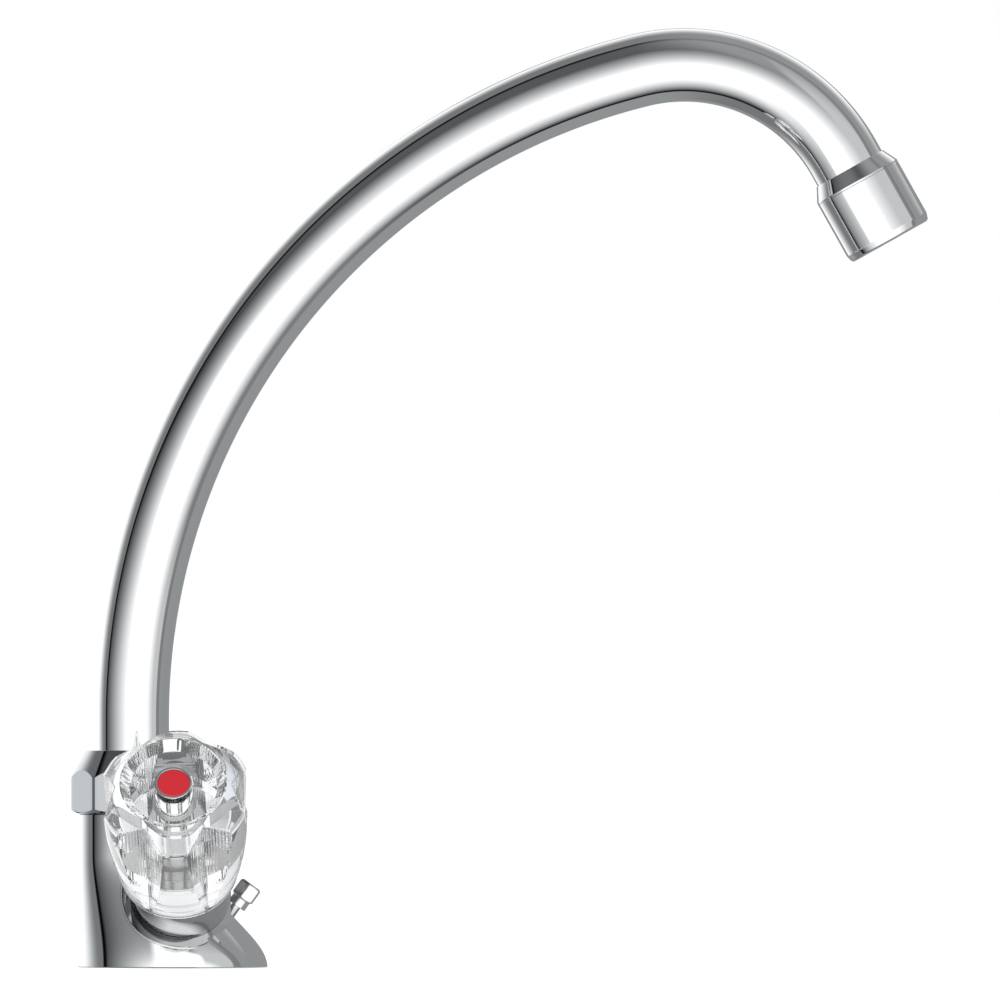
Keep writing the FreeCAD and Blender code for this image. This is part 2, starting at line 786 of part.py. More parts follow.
def make_piston(side, name):
    """Hexagonal piston that the spindle's thread moves in the bonnet's guide."""
    flats = guide_flats - running_gap * 2
    reach = corner_reach(flats)
    body = new_body(name + "_piston")
    revolve(body, [
        (washer_screw_radius, head_foot),
        (head_radius, head_foot),
        (head_radius, head_top),
        (reach, head_top),
        (reach, piston_top),
        (lead_thread + running_gap, piston_top),
        (lead_thread + running_gap, piston_bore_floor),
        (washer_screw_radius, piston_bore_floor)])
    cut_flats(body, flats, head_top, piston_top - head_top)
    seat_on_arm(body, side)
    return body


def make_seat_washer(side, name):
    """Rubber washer that closes the seat."""
    body = turned(name + "_seat_washer", tube_outline(
        washer_screw_radius, washer_radius, washer_foot, head_foot))
    seat_on_arm(body, side)
    return body


def make_washer_screw(side, name):
    """Screw that holds the washer to the piston; its head hangs in the seat's bore."""
    body = turned(name + "_washer_screw", [
        (0, washer_foot - washer_screw_rise),
        (washer_screw_head, washer_foot - washer_screw_rise),
        (washer_screw_head, washer_foot),
        (washer_screw_radius, washer_foot),
        (washer_screw_radius, piston_bore_floor),
        (0, piston_bore_floor)])
    seat_on_arm(body, side)
    return body


# Handle of one side

def make_grip(side, name):
    """Clear handle with six lobes: a barrel with a bevelled, dished top and six grooves along it."""
    body = new_body(name + "_grip")
    bevel_foot = grip_top - grip_bevel_depth
    skirt = sleeve_radius + grip_clearance
    cap_bore = cap_radius + running_gap
    revolve(body, [
        (skirt, grip_foot),
        (grip_foot_radius, grip_foot),
        (grip_lobe_foot, grip_foot + grip_foot_bevel, grip_barrel_arc),
        (grip_lobe_radius, bevel_foot),
        (grip_bevel_radius, grip_top),
        (grip_dish_radius, grip_top),
        (grip_dish_floor, grip_top - grip_dish_depth),
        (cap_bore, grip_top - grip_dish_depth),
        (cap_bore, grip_web_top),
        (insert_radius, grip_web_top),
        (insert_radius, insert_step_top()),
        (insert_radius - insert_step, insert_step_top()),
        (insert_radius - insert_step, insert_step_foot()),
        (insert_radius, insert_step_foot()),
        (insert_radius, grip_web_floor),
        (skirt, grip_web_floor)])

    def valley(sketch):
        edge_out = grip_lobe_radius * cosine(grip_valley_half)
        edge_side = grip_lobe_radius * sine(grip_valley_half)
        beyond_out = edge_out * 2 - grip_valley_radius
        draw_outline(sketch, [
            (grip_valley_radius, 0),
            (beyond_out, -edge_side * 2),
            (beyond_out, edge_side * 2)])
    cut = cut_through(body, "Valley", grip_foot, grip_top - grip_foot, valley)
    repeat_round(body, cut, grip_lobes)
    seat_on_arm(body, side)
    return body


def insert_step_foot():
    """Lower end of the waist of the insert."""
    return (grip_web_floor + grip_web_top - insert_waist) / 2


def insert_step_top():
    """Upper end of the waist of the insert."""
    return insert_step_foot() + insert_waist


def make_spline_insert(side, name):
    """Bush moulded into the grip; the spindle's spline drives it."""
    body = turned(name + "_spline_insert", [
        (journal_radius, grip_web_floor),
        (insert_radius, grip_web_floor),
        (insert_radius, insert_step_foot()),
        (insert_radius - insert_step, insert_step_foot()),
        (insert_radius - insert_step, insert_step_top()),
        (insert_radius, insert_step_top()),
        (insert_radius, insert_top),
        (screw_radius, insert_top),
        (screw_radius, insert_top - insert_roof),
        (journal_radius, insert_top - insert_roof)])
    seat_on_arm(body, side)
    return body


def make_handle_screw(side, name):
    """Screw that holds the handle on the spindle, with a slot across its head."""
    body = new_body(name + "_handle_screw")
    head_top = insert_top + screw_head_height
    revolve(body, [
        (0, insert_top - screw_reach),
        (screw_radius, insert_top - screw_reach),
        (screw_radius, insert_top),
        (screw_head_radius, insert_top),
        (screw_head_radius, head_top - edge_chamfer),
        (screw_head_radius - edge_chamfer, head_top),
        (0, head_top)])

    def slot(sketch):
        beyond = screw_head_radius + cut_beyond
        draw_outline(sketch, [
            (-beyond, -screw_slot_half),
            (beyond, -screw_slot_half),
            (beyond, screw_slot_half),
            (-beyond, screw_slot_half)])
    pocket_up(body, "Slot", head_top - screw_slot_depth, screw_slot_depth + cut_beyond, slot)
    seat_on_arm(body, side)
    return body


def make_index_cap(side, name):
    """Plug that closes the handle's bore, with a thin rim round the coloured disc."""
    rim_top = grip_top + cap_rise
    disc_foot = rim_top - disc_sink
    body = turned(name + "_index_cap", [
        (cap_radius - cap_wall, grip_top - cap_plug_depth),
        (cap_radius, grip_top - cap_plug_depth),
        (cap_radius, rim_top - cap_edge),
        (cap_radius - cap_edge, rim_top),
        (cap_radius - cap_rim, rim_top),
        (cap_radius - cap_rim, disc_foot),
        (0, disc_foot),
        (0, disc_foot - cap_wall),
        (cap_radius - cap_wall, disc_foot - cap_wall)])
    seat_on_arm(body, side)
    return body


def make_index_disc(side, name):
    """Coloured disc in the cap: red for hot, blue for cold."""
    rim_top = grip_top + cap_rise
    edge = cap_radius - cap_rim
    body = turned(name + "_index_disc", [
        (0, rim_top - disc_sink),
        (edge, rim_top - disc_sink),
        (edge, rim_top - disc_edge_drop),
        (edge - disc_bevel, rim_top),
        (0, rim_top + disc_crown)])
    seat_on_arm(body, side)
    return body


# Union nut and the foot of the spout

def make_spout_nut():
    """Union nut: eight flats with eased corners and a chamfered foot, and a cone to a narrow top."""
    roof_foot = nut_top - nut_roof
    body = new_body("spout_nut")
    revolve(body, [
        (union_radius, column_top),
        (nut_foot_radius, column_top),
        (nut_radius, column_top + nut_foot_chamfer),
        (nut_radius, nut_top - nut_cone_height),
        (nut_top_radius, nut_top),
        (tube_radius + tube_gap, nut_top),
        (tube_radius + tube_gap, roof_foot),
        (nut_bore, roof_foot),
        (nut_bore, spigot_top + thread_run_out),
        (union_radius, spigot_top + thread_run_out)])
    cut_flats(body, nut_flats, column_top, nut_height, nut_turn, round(nut_sides.value))
    seat_on_column(body)
    return body


def make_glide_washer():
    """Slippery washer on which the spout's flange turns."""
    body = turned("spout_glide_washer", tube_outline(
        socket_radius + washer_inner_play, nut_bore - washer_outer_play,
        spigot_top, spigot_top + glide_thickness))
    seat_on_column(body)
    return body


def make_slip_ring():
    """Ring between the spout's flange and the roof of the nut."""
    top = nut_top - nut_roof
    body = turned("spout_slip_ring", tube_outline(
        tube_radius + tube_gap, nut_bore - washer_outer_play, top - slip_thickness, top))
    seat_on_column(body)
    return body


def make_foot_bush():
    """Brass bush brazed to the foot of the tube: spigot with two ring grooves, and a flange."""
    spigot = socket_radius - running_gap
    floor = spigot + ring_slack - bush_ring_wire * 2
    half = bush_ring_wire + bush_ring_play
    low = bush_ring_low
    high = bush_ring_low + bush_ring_pitch
    body = turned("spout_foot_bush", [
        (bush_bore, bush_foot),
        (spigot, bush_foot),
        (spigot, low - half), (floor, low - half), (floor, low + half), (spigot, low + half),
        (spigot, high - half), (floor, high - half), (floor, high + half), (spigot, high + half),
        (spigot, flange_foot),
        (flange_radius, flange_foot),
        (flange_radius, flange_top),
        (tube_radius, flange_top),
        (tube_radius, tube_seat),
        (bush_bore, tube_seat)])
    seat_on_column(body)
    return body


def make_spout_rings():
    """The two rubber rings of the foot bush, as one node of two solids."""
    rings = []
    for name, height in (("Low", bush_ring_low), ("High", bush_ring_low + bush_ring_pitch)):
        ring = doc.addObject("Part::Torus", name + "Ring")
        bind(ring, "Radius1", socket_radius - running_gap + ring_slack - bush_ring_wire)
        bind(ring, "Radius2", bush_ring_wire)
        seat(ring, column_back, 0, height)
        rings.append(ring)
    group = doc.addObject("Part::Compound", "spout_o_rings")
    group.Label = "spout_o_rings"
    group.Links = rings
    return group


def make_spout_tube():
    """The bent tube: a ring swept along riser, long sweep, tight crook and straight end."""
    body = new_body("spout_tube")
    path = new_sketch(body, "Route", "XZ_Plane")
    draw_outline(path, [
        (0, tube_seat),
        (0, riser_top, -sweep_radius),
        (crook_out, crook_up, -crook_radius),
        (tail_out, tail_up),
        (outlet_out + collar_socket * sine(turn_angle),
         outlet_up + collar_socket * cosine(turn_angle))], closed=False)
    ring = new_sketch(body, "Ring", "XY_Plane", tube_seat)
    draw_circle(ring, tube_radius)
    draw_circle(ring, tube_radius - tube_wall)
    doc.recompute()
    pipe = body.newObject("PartDesign::AdditivePipe", "Tube")
    pipe.Profile = ring
    pipe.Spine = path
    doc.recompute()
    seat_on_column(body)
    return body


# Outlet

def make_outlet_collar():
    """Collar brazed to the end of the tube: a cone outside and a male thread below."""
    thread_end = collar_length + nozzle_thread_length
    body = turned("outlet_collar", [
        (tube_radius, 0),
        (tube_radius + collar_edge, 0),
        (housing_radius, collar_length - collar_band),
        (housing_radius, collar_length),
        (nozzle_thread, collar_length),
        (nozzle_thread, thread_end),
        (collar_bore, thread_end),
        (collar_bore, collar_socket),
        (tube_radius, collar_socket)])
    seat_on_outlet(body)
    return body


def make_aerator_housing():
    """Chromed cylinder that screws on the collar and holds the aerator above its inner lip."""
    thread_end = collar_length + nozzle_thread_length
    body = turned("aerator_housing", [
        (nozzle_thread, collar_length),
        (housing_radius, collar_length),
        (housing_radius, housing_end - housing_bevel),
        (housing_mouth_radius, housing_end - housing_edge_height),
        (housing_mouth_radius - housing_edge_width, housing_end),
        (housing_mouth, housing_end),
        (housing_mouth, housing_end - housing_lip),
        (housing_bore, housing_end - housing_lip),
        (housing_bore, thread_end),
        (nozzle_thread, thread_end)])
    seat_on_outlet(body)
    return body


def make_aerator_washer():
    """Rubber washer between the collar and the aerator insert."""
    thread_end = collar_length + nozzle_thread_length
    body = turned("aerator_washer", tube_outline(
        collar_bore, housing_bore, thread_end, thread_end + aerator_washer_thickness))
    seat_on_outlet(body)
    return body


def make_aerator_insert():
    """Plastic cup with a pierced plate across its middle."""
    foot = collar_length + nozzle_thread_length + aerator_washer_thickness
    top = housing_end - housing_lip - screen_thickness
    outer = housing_bore - running_gap
    inner = outer - insert_wall
    plate = foot + insert_wall
    body = new_body("aerator_insert")
    revolve(body, [
        (0, plate), (inner, plate), (inner, foot), (outer, foot), (outer, top), (inner, top),
        (inner, plate + insert_plate), (0, plate + insert_plate)])

    def hole(sketch):
        draw_circle(sketch, insert_hole, insert_hole_ring, 0)
    cut = cut_through(body, "Hole", plate, insert_plate, hole)
    repeat_round(body, cut, insert_hole_count)
    seat_on_outlet(body)
    return body


def make_aerator_screen():
    """Pierced disc that lies on the lip of the housing: one hole, then rings of 6, 12 and 18."""
    foot = housing_end - housing_lip - screen_thickness
    body = new_body("aerator_screen")
    revolve(body, [
        (0, foot), (screen_radius, foot), (screen_radius, foot + screen_thickness),
        (0, foot + screen_thickness)])

    def holes(sketch):
        draw_circle(sketch, screen_hole)
        for ring in (1, 2, 3):
            for k in range(6 * ring):
                turn = 60 * k / ring
                out = screen_pitch * ring
                draw_circle(sketch, screen_hole, out * cosine(turn), out * sine(turn))
    cut_through(body, "Mesh", foot, screen_thickness, holes)
    seat_on_outlet(body)
    return body


# Chain stay

def make_stay_screw():
    """Stepped screw in the front of the bell: thread, neck and a hexagonal head."""
    head_foot = stay_neck + stay_collar_height
    head_top = head_foot + stay_head_height
    reach = corner_reach(stay_head_flats)
    body = new_body("chain_stay_screw")
    revolve(body, [
        (0, -stay_thread_depth),
        (stay_shank, -stay_thread_depth),
        (stay_shank, head_foot),
        (reach - stay_head_chamfer, head_foot),
        (reach, head_foot + stay_head_chamfer),
        (reach, head_top - stay_head_chamfer),
        (reach - stay_head_chamfer, head_top),
        (0, head_top)])
    cut_flats(body, stay_head_flats, head_foot, stay_head_height, stay_head_turn)
    seat_on_stay(body)
    return body


def make_stay_collar():
    """Loose collar on the neck of the chain stay."""
    body = turned("chain_stay_collar", tube_outline(
        stay_shank, stay_collar_radius, stay_neck, stay_neck + stay_collar_height))
    seat_on_stay(body)
    return body


# The whole tap

pieces = [
    make_casting(),
    make_base_seal(),
    make_spout_nut(),
    make_glide_washer(),
    make_slip_ring(),
    make_foot_bush(),
    make_spout_rings(),
    make_spout_tube(),
    make_outlet_collar(),
    make_aerator_housing(),
    make_aerator_washer(),
    make_aerator_insert(),
    make_aerator_screen(),
    make_stay_screw(),
    make_stay_collar(),
]
for arm, water in ((-1, "hot"), (1, "cold")):
    for make in (make_bonnet, make_bonnet_gasket, make_sleeve, make_spindle, make_spindle_ring,
                 make_spindle_clip, make_piston, make_seat_washer, make_washer_screw, make_grip,
                 make_spline_insert, make_handle_screw, make_index_cap, make_index_disc):
        pieces.append(make(arm, water))

doc.recompute()

# Nothing is written unless every object of the document is sound
for item in doc.Objects:
    if "Invalid" in item.State or "Error" in item.State:
        raise RuntimeError(f"{item.Name} failed: {item.State}")
for piece in pieces:
    if piece.Shape.isNull() or not piece.Shape.isValid() or not piece.Shape.Solids:
        raise RuntimeError(f"{piece.Label} has no sound shape")

os.makedirs("parts", exist_ok=True)
for piece in pieces:
    piece.Shape.exportStep(f"parts/{piece.Label}.step")
    print(f"{piece.Label}: {len(piece.Shape.Solids)} solid, {piece.Shape.Volume:.1f} mm3")
print(f"{len(pieces)} nodes")
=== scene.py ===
"""A deck-mounted mixer tap with a swan-neck spout and two clear handles, in its studio."""

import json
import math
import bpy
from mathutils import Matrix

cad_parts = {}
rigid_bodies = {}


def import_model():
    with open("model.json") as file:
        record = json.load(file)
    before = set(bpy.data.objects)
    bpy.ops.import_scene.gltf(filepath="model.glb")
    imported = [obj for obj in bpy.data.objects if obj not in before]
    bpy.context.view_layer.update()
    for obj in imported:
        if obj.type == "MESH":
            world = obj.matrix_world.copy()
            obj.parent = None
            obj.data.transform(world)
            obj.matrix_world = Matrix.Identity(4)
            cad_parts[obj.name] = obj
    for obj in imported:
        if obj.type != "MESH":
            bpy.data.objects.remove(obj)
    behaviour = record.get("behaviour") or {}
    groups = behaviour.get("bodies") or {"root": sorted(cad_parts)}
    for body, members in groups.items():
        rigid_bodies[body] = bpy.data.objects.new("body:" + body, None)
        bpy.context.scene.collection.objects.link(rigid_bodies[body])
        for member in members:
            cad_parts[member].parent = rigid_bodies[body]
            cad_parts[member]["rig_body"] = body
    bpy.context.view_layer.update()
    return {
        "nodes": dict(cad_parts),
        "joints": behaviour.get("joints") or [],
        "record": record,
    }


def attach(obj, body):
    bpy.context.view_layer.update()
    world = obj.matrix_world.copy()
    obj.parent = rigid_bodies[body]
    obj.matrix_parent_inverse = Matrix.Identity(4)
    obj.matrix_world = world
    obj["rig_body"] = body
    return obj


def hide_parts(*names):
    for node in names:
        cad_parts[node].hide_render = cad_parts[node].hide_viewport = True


bl_info = {
    "name": "Mixer Tap",
    "version": (1, 0, 0),
    "blender": (4, 5, 0),
    "location": "3D View > Sidebar > Mixer Tap",
    "description": "Plated, clear and moulded pieces of a deck-mounted mixer tap, with its studio",
    "category": "Object",
}

import bmesh
import bpy
import numpy as np
from bpy.props import FloatProperty, FloatVectorProperty, IntProperty, PointerProperty
from mathutils import Vector

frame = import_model()

MM = 0.001
JOINTS = {joint["name"]: joint for joint in frame["joints"]}
SIDES = ("hot", "cold")
WHITE = (1.0, 1.0, 1.0, 1.0)


# Sizes and colours that a user may change

def length(name, description, default):
    """A length property in metres, from a default in millimetres."""
    return FloatProperty(name=name, description=description, default=default * MM,
                         min=0.0, unit="LENGTH", subtype="DISTANCE", precision=4)


def colour(name, description, default):
    """A colour property."""
    return FloatVectorProperty(name=name, description=description, default=default,
                               min=0.0, max=1.0, size=3, subtype="COLOR")


def turning(name, description, default):
    """An angle property, from a default in degrees."""
    return FloatProperty(name=name, description=description, default=math.radians(default),
                         unit="ROTATION", subtype="ANGLE")


class TapSpoutSizes(bpy.types.PropertyGroup):
    """Sizes of the spout and its outlet."""
    tube_radius: length("Tube Radius", "Outside radius of the spout tube", 11.0)
    tube_wall: length("Tube Wall", "Wall of the spout tube", 1.0)
    tube_seat: length("Tube Seat", "Height at which the tube sits in its foot bush", 57.2)
    riser_top: length("Riser Top", "Height at which the straight riser ends", 74.6)
    sweep_radius: length("Sweep Radius", "Radius of the long sweep", 200.0)
    crook_radius: length("Crook Radius", "Radius of the tight crook at the top", 55.0)
    tail_length: length("Tail", "Straight end of the tube before the outlet", 3.4)
    sweep_angle: turning("Sweep Angle", "Turn of the long sweep", 76.2)
    crook_angle: turning("Crook Angle", "Turn of the crook", 74.5)
    housing_radius: length("Housing Radius", "Outside radius of the aerator housing", 13.65)
    edge_break: length("Edge Break", "Rounding of the plated edges", 0.22)


class TapBodySizes(bpy.types.PropertyGroup):
    """Sizes of the body, the union nut and the chain stay."""
    base_radius: length("Base Radius", "Radius of the foot", 28.5)
    column_radius: length("Column Radius", "Radius of the column under the nut", 16.5)
    flare_top: length("Flare Top", "Height at which the bell becomes the column", 34.0)
    column_top: length("Column Top", "Height of the face under the nut", 45.7)
    nut_sides: IntProperty(name="Nut Sides", description="Flats round the union nut", default=8, min=4)
    nut_flats: length("Nut Flats", "Width of the union nut across its flats", 34.5)
    nut_reach: length("Nut Reach", "Radius to which the nut's corners are turned down", 18.45)
    nut_height: length("Nut Height", "Height of the union nut", 19.3)
    nut_turn: turning("Nut Turn", "How far the nut is screwed round", 51.6)
    sleeve_radius: length("Sleeve Radius", "Radius of the sleeves over the valves", 15.0)
    stay_flats: length("Stay Flats", "Width of the chain stay's head across its flats", 6.6)
    stay_height: length("Stay Height", "Height of the chain stay on the bell", 16.6)
    stay_proud: length("Stay Proud", "How far out of the bell the stay's axis is counted", 1.0)
    stay_tilt: turning("Stay Tilt", "Rise of the chain stay", 54.0)
    stay_turn: turning("Stay Turn", "How far the stay's head is screwed round", 22.0)


class TapHandleSizes(bpy.types.PropertyGroup):
    """Sizes of the clear handles."""
    lobes: IntProperty(name="Lobes", description="Lobes round the handle", default=6, min=3)
    lobe_radius: length("Lobe Radius", "Widest radius of the handle", 22.4)
    valley_radius: length("Valley Radius", "Radius at the bottom of the grooves", 17.5)
    top_radius: length("Top Radius", "Radius of the flat top's rim", 16.0)
    top: length("Top", "Height of the handle's rim over the boss", 62.6)
    bevel_depth: length("Bevel Depth", "Height of the bevelled top", 6.7)
    dish_radius: length("Dish Radius", "Radius of the dish at the rim", 15.6)
    dish_floor: length("Dish Floor", "Radius of the dish's flat floor", 13.0)
    dish_depth: length("Dish Depth", "Depth of the dish", 2.7)
    barrel_arc: length("Barrel Arc", "Radius of the barrel's outline", 250.0)
    cap_radius: length("Cap Radius", "Radius of the index cap", 5.6)
    cap_rise: length("Cap Rise", "How far the cap stands over the rim", 0.1)
    disc_radius: length("Disc Radius", "Radius of the coloured disc", 4.8)


class TapColours(bpy.types.PropertyGroup):
    """Colours of the finishes."""
    chrome: colour("Chrome", "Plated brass", (0.93, 0.935, 0.94))
    brass: colour("Brass", "Bare machined brass", (0.78, 0.62, 0.33))
    steel: colour("Steel", "Stainless screws, clips and screen", (0.62, 0.62, 0.61))
    rubber: colour("Rubber", "Seals and rings", (0.022, 0.022, 0.024))
    acrylic: colour("Acrylic", "Clear handles", (0.985, 0.992, 1.0))
    white_plastic: colour("White Plastic", "Caps, aerator insert and washers", (0.86, 0.86, 0.84))
    fibre: colour("Fibre", "Bonnet gaskets", (0.36, 0.07, 0.045))
    red: colour("Red", "Hot index disc", (0.62, 0.017, 0.028))
    dull: colour("Dull Plating", "Plating of the union nut", (0.68, 0.70, 0.72))
    blue: colour("Blue", "Cold index disc", (0.012, 0.085, 0.52))
    floor: colour("Floor", "Pale floor", (0.82, 0.82, 0.82))


# Shader maths written as expressions

def sign(operation, swapped=False):
    """A method of Wire that works out one sign with a Math node."""
    def method(self, other):
        return self.math(operation, *((other, self) if swapped else (self, other)))
    return method


class Wire:
    """One output of a node tree; arithmetic on wires adds the Math nodes that work it out."""

    __add__, __radd__ = sign("ADD"), sign("ADD", True)
    __sub__, __rsub__ = sign("SUBTRACT"), sign("SUBTRACT", True)
    __mul__, __rmul__ = sign("MULTIPLY"), sign("MULTIPLY", True)
    __truediv__, __pow__ = sign("DIVIDE"), sign("POWER")

    def __init__(self, tree, socket):
        self.tree = tree
        self.socket = socket

    def __neg__(self):
        return self * -1.0

    def math(self, operation, *values):
        """The result of one Math node."""
        node = self.tree.nodes.new("ShaderNodeMath")
        node.operation = operation
        for place, value in enumerate(values):
            plug(self.tree, node.inputs[place], value)
        return Wire(self.tree, node.outputs[0])

    def least(self, other):
        """The smaller of the two."""
        return self.math("MINIMUM", self, other)

    def most(self, other):
        """The larger of the two."""
        return self.math("MAXIMUM", self, other)

    def ramp(self, start, end):
        """0 at start, 1 at end, in a straight line."""
        return ((self - start) / (end - start)).most(0.0).least(1.0)

    def step(self, start, end):
        """0 at start, 1 at end, easing in and out."""
        share = self.ramp(start, end)
        return share * share * (3.0 - 2.0 * share)


def plug(tree, socket, value):
    """Link a wire into a socket, or set a plain number or colour on it."""
    if isinstance(value, Wire):
        tree.links.new(value.socket, socket)
    else:
        socket.default_value = value


class Finish:
    """A material, or the world, with one way to add nodes to it."""

    def __init__(self, owner):
        owner.use_nodes = True
        self.owner = owner
        self.tree = owner.node_tree
        self.tree.nodes.clear()

    def add(self, kind, settings=None, inputs=None, output=0):
        """A node of a kind with its settings made first, then its inputs; returns one output."""
        node = self.tree.nodes.new("ShaderNode" + kind)
        for name, value in (settings or {}).items():
            setattr(node, name, value)
        for name, value in (inputs or {}).items():
            plug(self.tree, node.inputs[name], value)
        return Wire(self.tree, node.outputs[output])

    def outputs(self, names, kind, inputs=None):
        """Outputs of one node, by their names."""
        sockets = self.add(kind, inputs=inputs).socket.node.outputs
        return [Wire(self.tree, sockets[name]) for name in names]

    def place(self):
        """Object coordinates."""
        return self.add("TexCoord", output="Object")

    def marked(self, name):
        """A number kept at every point or face of the piece."""
        return self.add("Attribute", {"attribute_name": name}, output="Fac")

    def noise(self, scale, detail=3.0, roughness=0.5):
        """Noise between 0 and 1 at a number of cells per metre."""
        return self.add("TexNoise", inputs={"Vector": self.place(), "Scale": scale,
                                            "Detail": detail, "Roughness": roughness})

    def blend(self, share, first, second):
        """A colour between two, by a share."""
        return self.add("Mix", {"data_type": "RGBA"}, {0: share, 6: first, 7: second}, output=2)

    def bump(self, height, strength, distance):
        """A normal shaken by a height."""
        return self.add("Bump", inputs={"Height": height, "Strength": strength,
                                        "Distance": distance})

    def surface(self, shader, kind="Material"):
        """The shader that the material or the world shows; returns its owner."""
        end = self.tree.nodes.new("ShaderNodeOutput" + kind)
        self.tree.links.new(shader.socket, end.inputs["Surface"])
        return self.owner


def shade(values, factor=1.0):
    """A colour made darker or lighter by a factor, with full alpha."""
    return tuple(min(1.0, value * factor) for value in values[:3]) + (1.0,)


def new_finish(name):
    """A new material of a name, still without nodes."""
    return Finish(bpy.data.materials.new(name))


def plated_finish(name, tint, gloss):
    """Plating with faint wiping marks; where a piece is marked with painted shade it is satin and
    darkened towards black.
    """
    finish = new_finish(name)
    smears = finish.noise(60.0, 5.0, 0.6).step(0.45, 0.75)
    specks = finish.noise(900.0, 2.0).step(0.66, 0.78)
    # Painted shade: a kept mark on recesses, gaps, the lower sleeves, the caps' sides and the stay
    # blends the plating towards black.
    dim = finish.marked("dim")
    bright = finish.blend(smears * 0.5, shade(tint), shade(tint, 0.985))
    shader = finish.add("BsdfPrincipled", inputs={
        "Base Color": finish.blend(dim, bright, shade(tint, 0.0)),
        "Metallic": 1.0,
        "Roughness": gloss + smears * 0.02 + specks * 0.015 + dim * 0.12})
    return finish.surface(shader)


def solid_finish(name, tint, shades, cloud, rough, grain, bump, metallic=0.0, coat=0.0, patch=None):
    """An opaque material: clouds between two shades and two roughnesses, and a raised grain.

    Clouds and grain are noises; a patch's limits turn the clouds into patches."""
    finish = new_finish(name)
    share = finish.noise(*cloud)
    if patch:
        share = share.step(*patch)
    shader = finish.add("BsdfPrincipled", inputs={
        "Base Color": finish.blend(share, shade(tint, shades[0]), shade(tint, shades[1])),
        "Metallic": metallic,
        "Roughness": rough[0] + share * rough[1],
        "Coat Weight": coat,
        "Normal": finish.bump(finish.noise(*grain), *bump)})
    return finish.surface(shader)


def plastic_finish(name, tint, rough=0.22, mottle=0.9):
    """Gloss plastic of one colour, slightly uneven, with a fine moulded skin."""
    return solid_finish(name, tint, (1.0, mottle), (350.0,), (rough, 0.08), (2500.0, 2.0),
                        (0.12, 0.00003), coat=0.15)


def acrylic_finish(colours):
    """Clear moulded acrylic: it bends light and has a faint painted glow; the grooves are rippled and
    the dish finely fluted.
    """
    finish = new_finish("clear_acrylic")
    marks = finish.noise(500.0, 3.0).step(0.5, 0.8)
    grooves, flutes = finish.marked("groove"), finish.marked("flute")
    turn = finish.add("SeparateXYZ", inputs={"Vector": finish.add("UVMap")})
    flute, rib = (turn.math("SINE", turn * (2 * math.pi * count)) for count in (60, 160))
    ripple = finish.noise(450.0, 2.0, 0.6)
    height = grooves * (rib * 0.05 + ripple * 0.25) + flutes * flute * 0.05
    shader = finish.add("BsdfPrincipled", inputs={
        "Base Color": finish.blend(marks * 0.4, shade(colours.acrylic), shade(colours.acrylic, 0.985)),
        "Roughness": 0.004 + marks * 0.01,
        "IOR": 1.49,
        "Normal": finish.bump(height, 1.0, 0.0003),
        "Transmission Weight": 1.0,
        # Painted light: a faint white glow lightens the clear handles.
        "Emission Color": WHITE,
        "Emission Strength": 0.018})
    return finish.surface(shader)


FINISHES = {
    "chrome": lambda colours: plated_finish("chrome_plate", colours.chrome, 0.022),
    "dull": lambda colours: plated_finish("nut_plate", colours.dull, 0.03),
    "brass": lambda colours: solid_finish(
        "machined_brass", colours.brass, (1.0, 0.72), (220.0, 4.0), (0.2, 0.15), (2600.0, 2.0),
        (0.2, 0.00004), metallic=1.0, patch=(0.35, 0.7)),
    "steel": lambda colours: solid_finish(
        "plain_stainless", colours.steel, (1.0, 0.8), (300.0,), (0.24, 0.16), (3200.0,),
        (0.25, 0.00003), metallic=1.0),
    "black_rubber": lambda colours: solid_finish(
        "black_rubber", colours.rubber, (1.0, 2.2), (420.0, 4.0), (0.55, 0.2), (4000.0, 2.0),
        (0.2, 0.00005)),
    "red_fibre": lambda colours: solid_finish(
        "pressed_fibre", colours.fibre, (0.7, 1.3), (1800.0, 5.0, 0.7), (0.75, 0.15),
        (1800.0, 5.0, 0.7), (0.4, 0.0001)),
    "clear_acrylic": acrylic_finish,
    "white_plastic": lambda colours: plastic_finish(
        "white_plastic", colours.white_plastic, 0.28, 0.94),
    "red_plastic": lambda colours: plastic_finish("red_plastic", colours.red),
    "blue_plastic": lambda colours: plastic_finish("blue_plastic", colours.blue),
}
made_finishes = {}


def finish_of(slot):
    """The material of one of the record's slots, made once."""
    if slot not in made_finishes:
        made_finishes[slot] = FINISHES[slot](bpy.context.scene.tap_colours)
    return made_finishes[slot]


def slot_of(node):
    """The record's material slot of a CAD node."""
    return next(item["material_slot"] for item in frame["record"]["subparts"] if item["node"] == node)


# Seats: where a piece made round its own Z axis stands

class Seat:
    """An origin with three unit directions."""

    def __init__(self, origin, axis, across=(1.0, 0.0, 0.0)):
        self.origin = np.array(origin, dtype=float)
        self.up = np.array(axis, dtype=float) / np.linalg.norm(axis)
        across = np.array(across, dtype=float)
        across = across - self.up * across.dot(self.up)
        self.across = across / np.linalg.norm(across)
        self.aside = np.cross(self.up, self.across)

    def carry(self, points):
        """Points of the piece's own frame, as an array (..., 3), set into the tap's frame."""
        return (self.origin + points[..., 0:1] * self.across + points[..., 1:2] * self.aside
                + points[..., 2:3] * self.up)

    def measure(self, points):
        """Heights of points over the origin, and the way from the axis to each."""
        offset = points - self.origin
        height = offset.dot(self.up)
        return height, offset - height[:, None] * self.up


def arm_seat(side):
    """The valve axis of one side, from the centre of its boss face.

    The forward direction is turned with the axis as it leans over from upright."""
    joint = JOINTS[side + "_turn"]
    axis = np.array(joint["axis"], dtype=float)
    hinge = np.array([-axis[1], axis[0], 0.0]) / math.hypot(axis[0], axis[1])
    lean = math.acos(axis[2])
    forward = np.array([1.0, 0.0, 0.0])
    across = (forward * math.cos(lean) + np.cross(hinge, forward) * math.sin(lean)
              + hinge * hinge.dot(forward) * (1 - math.cos(lean)))
    return Seat(joint["pos_m"], axis, across)


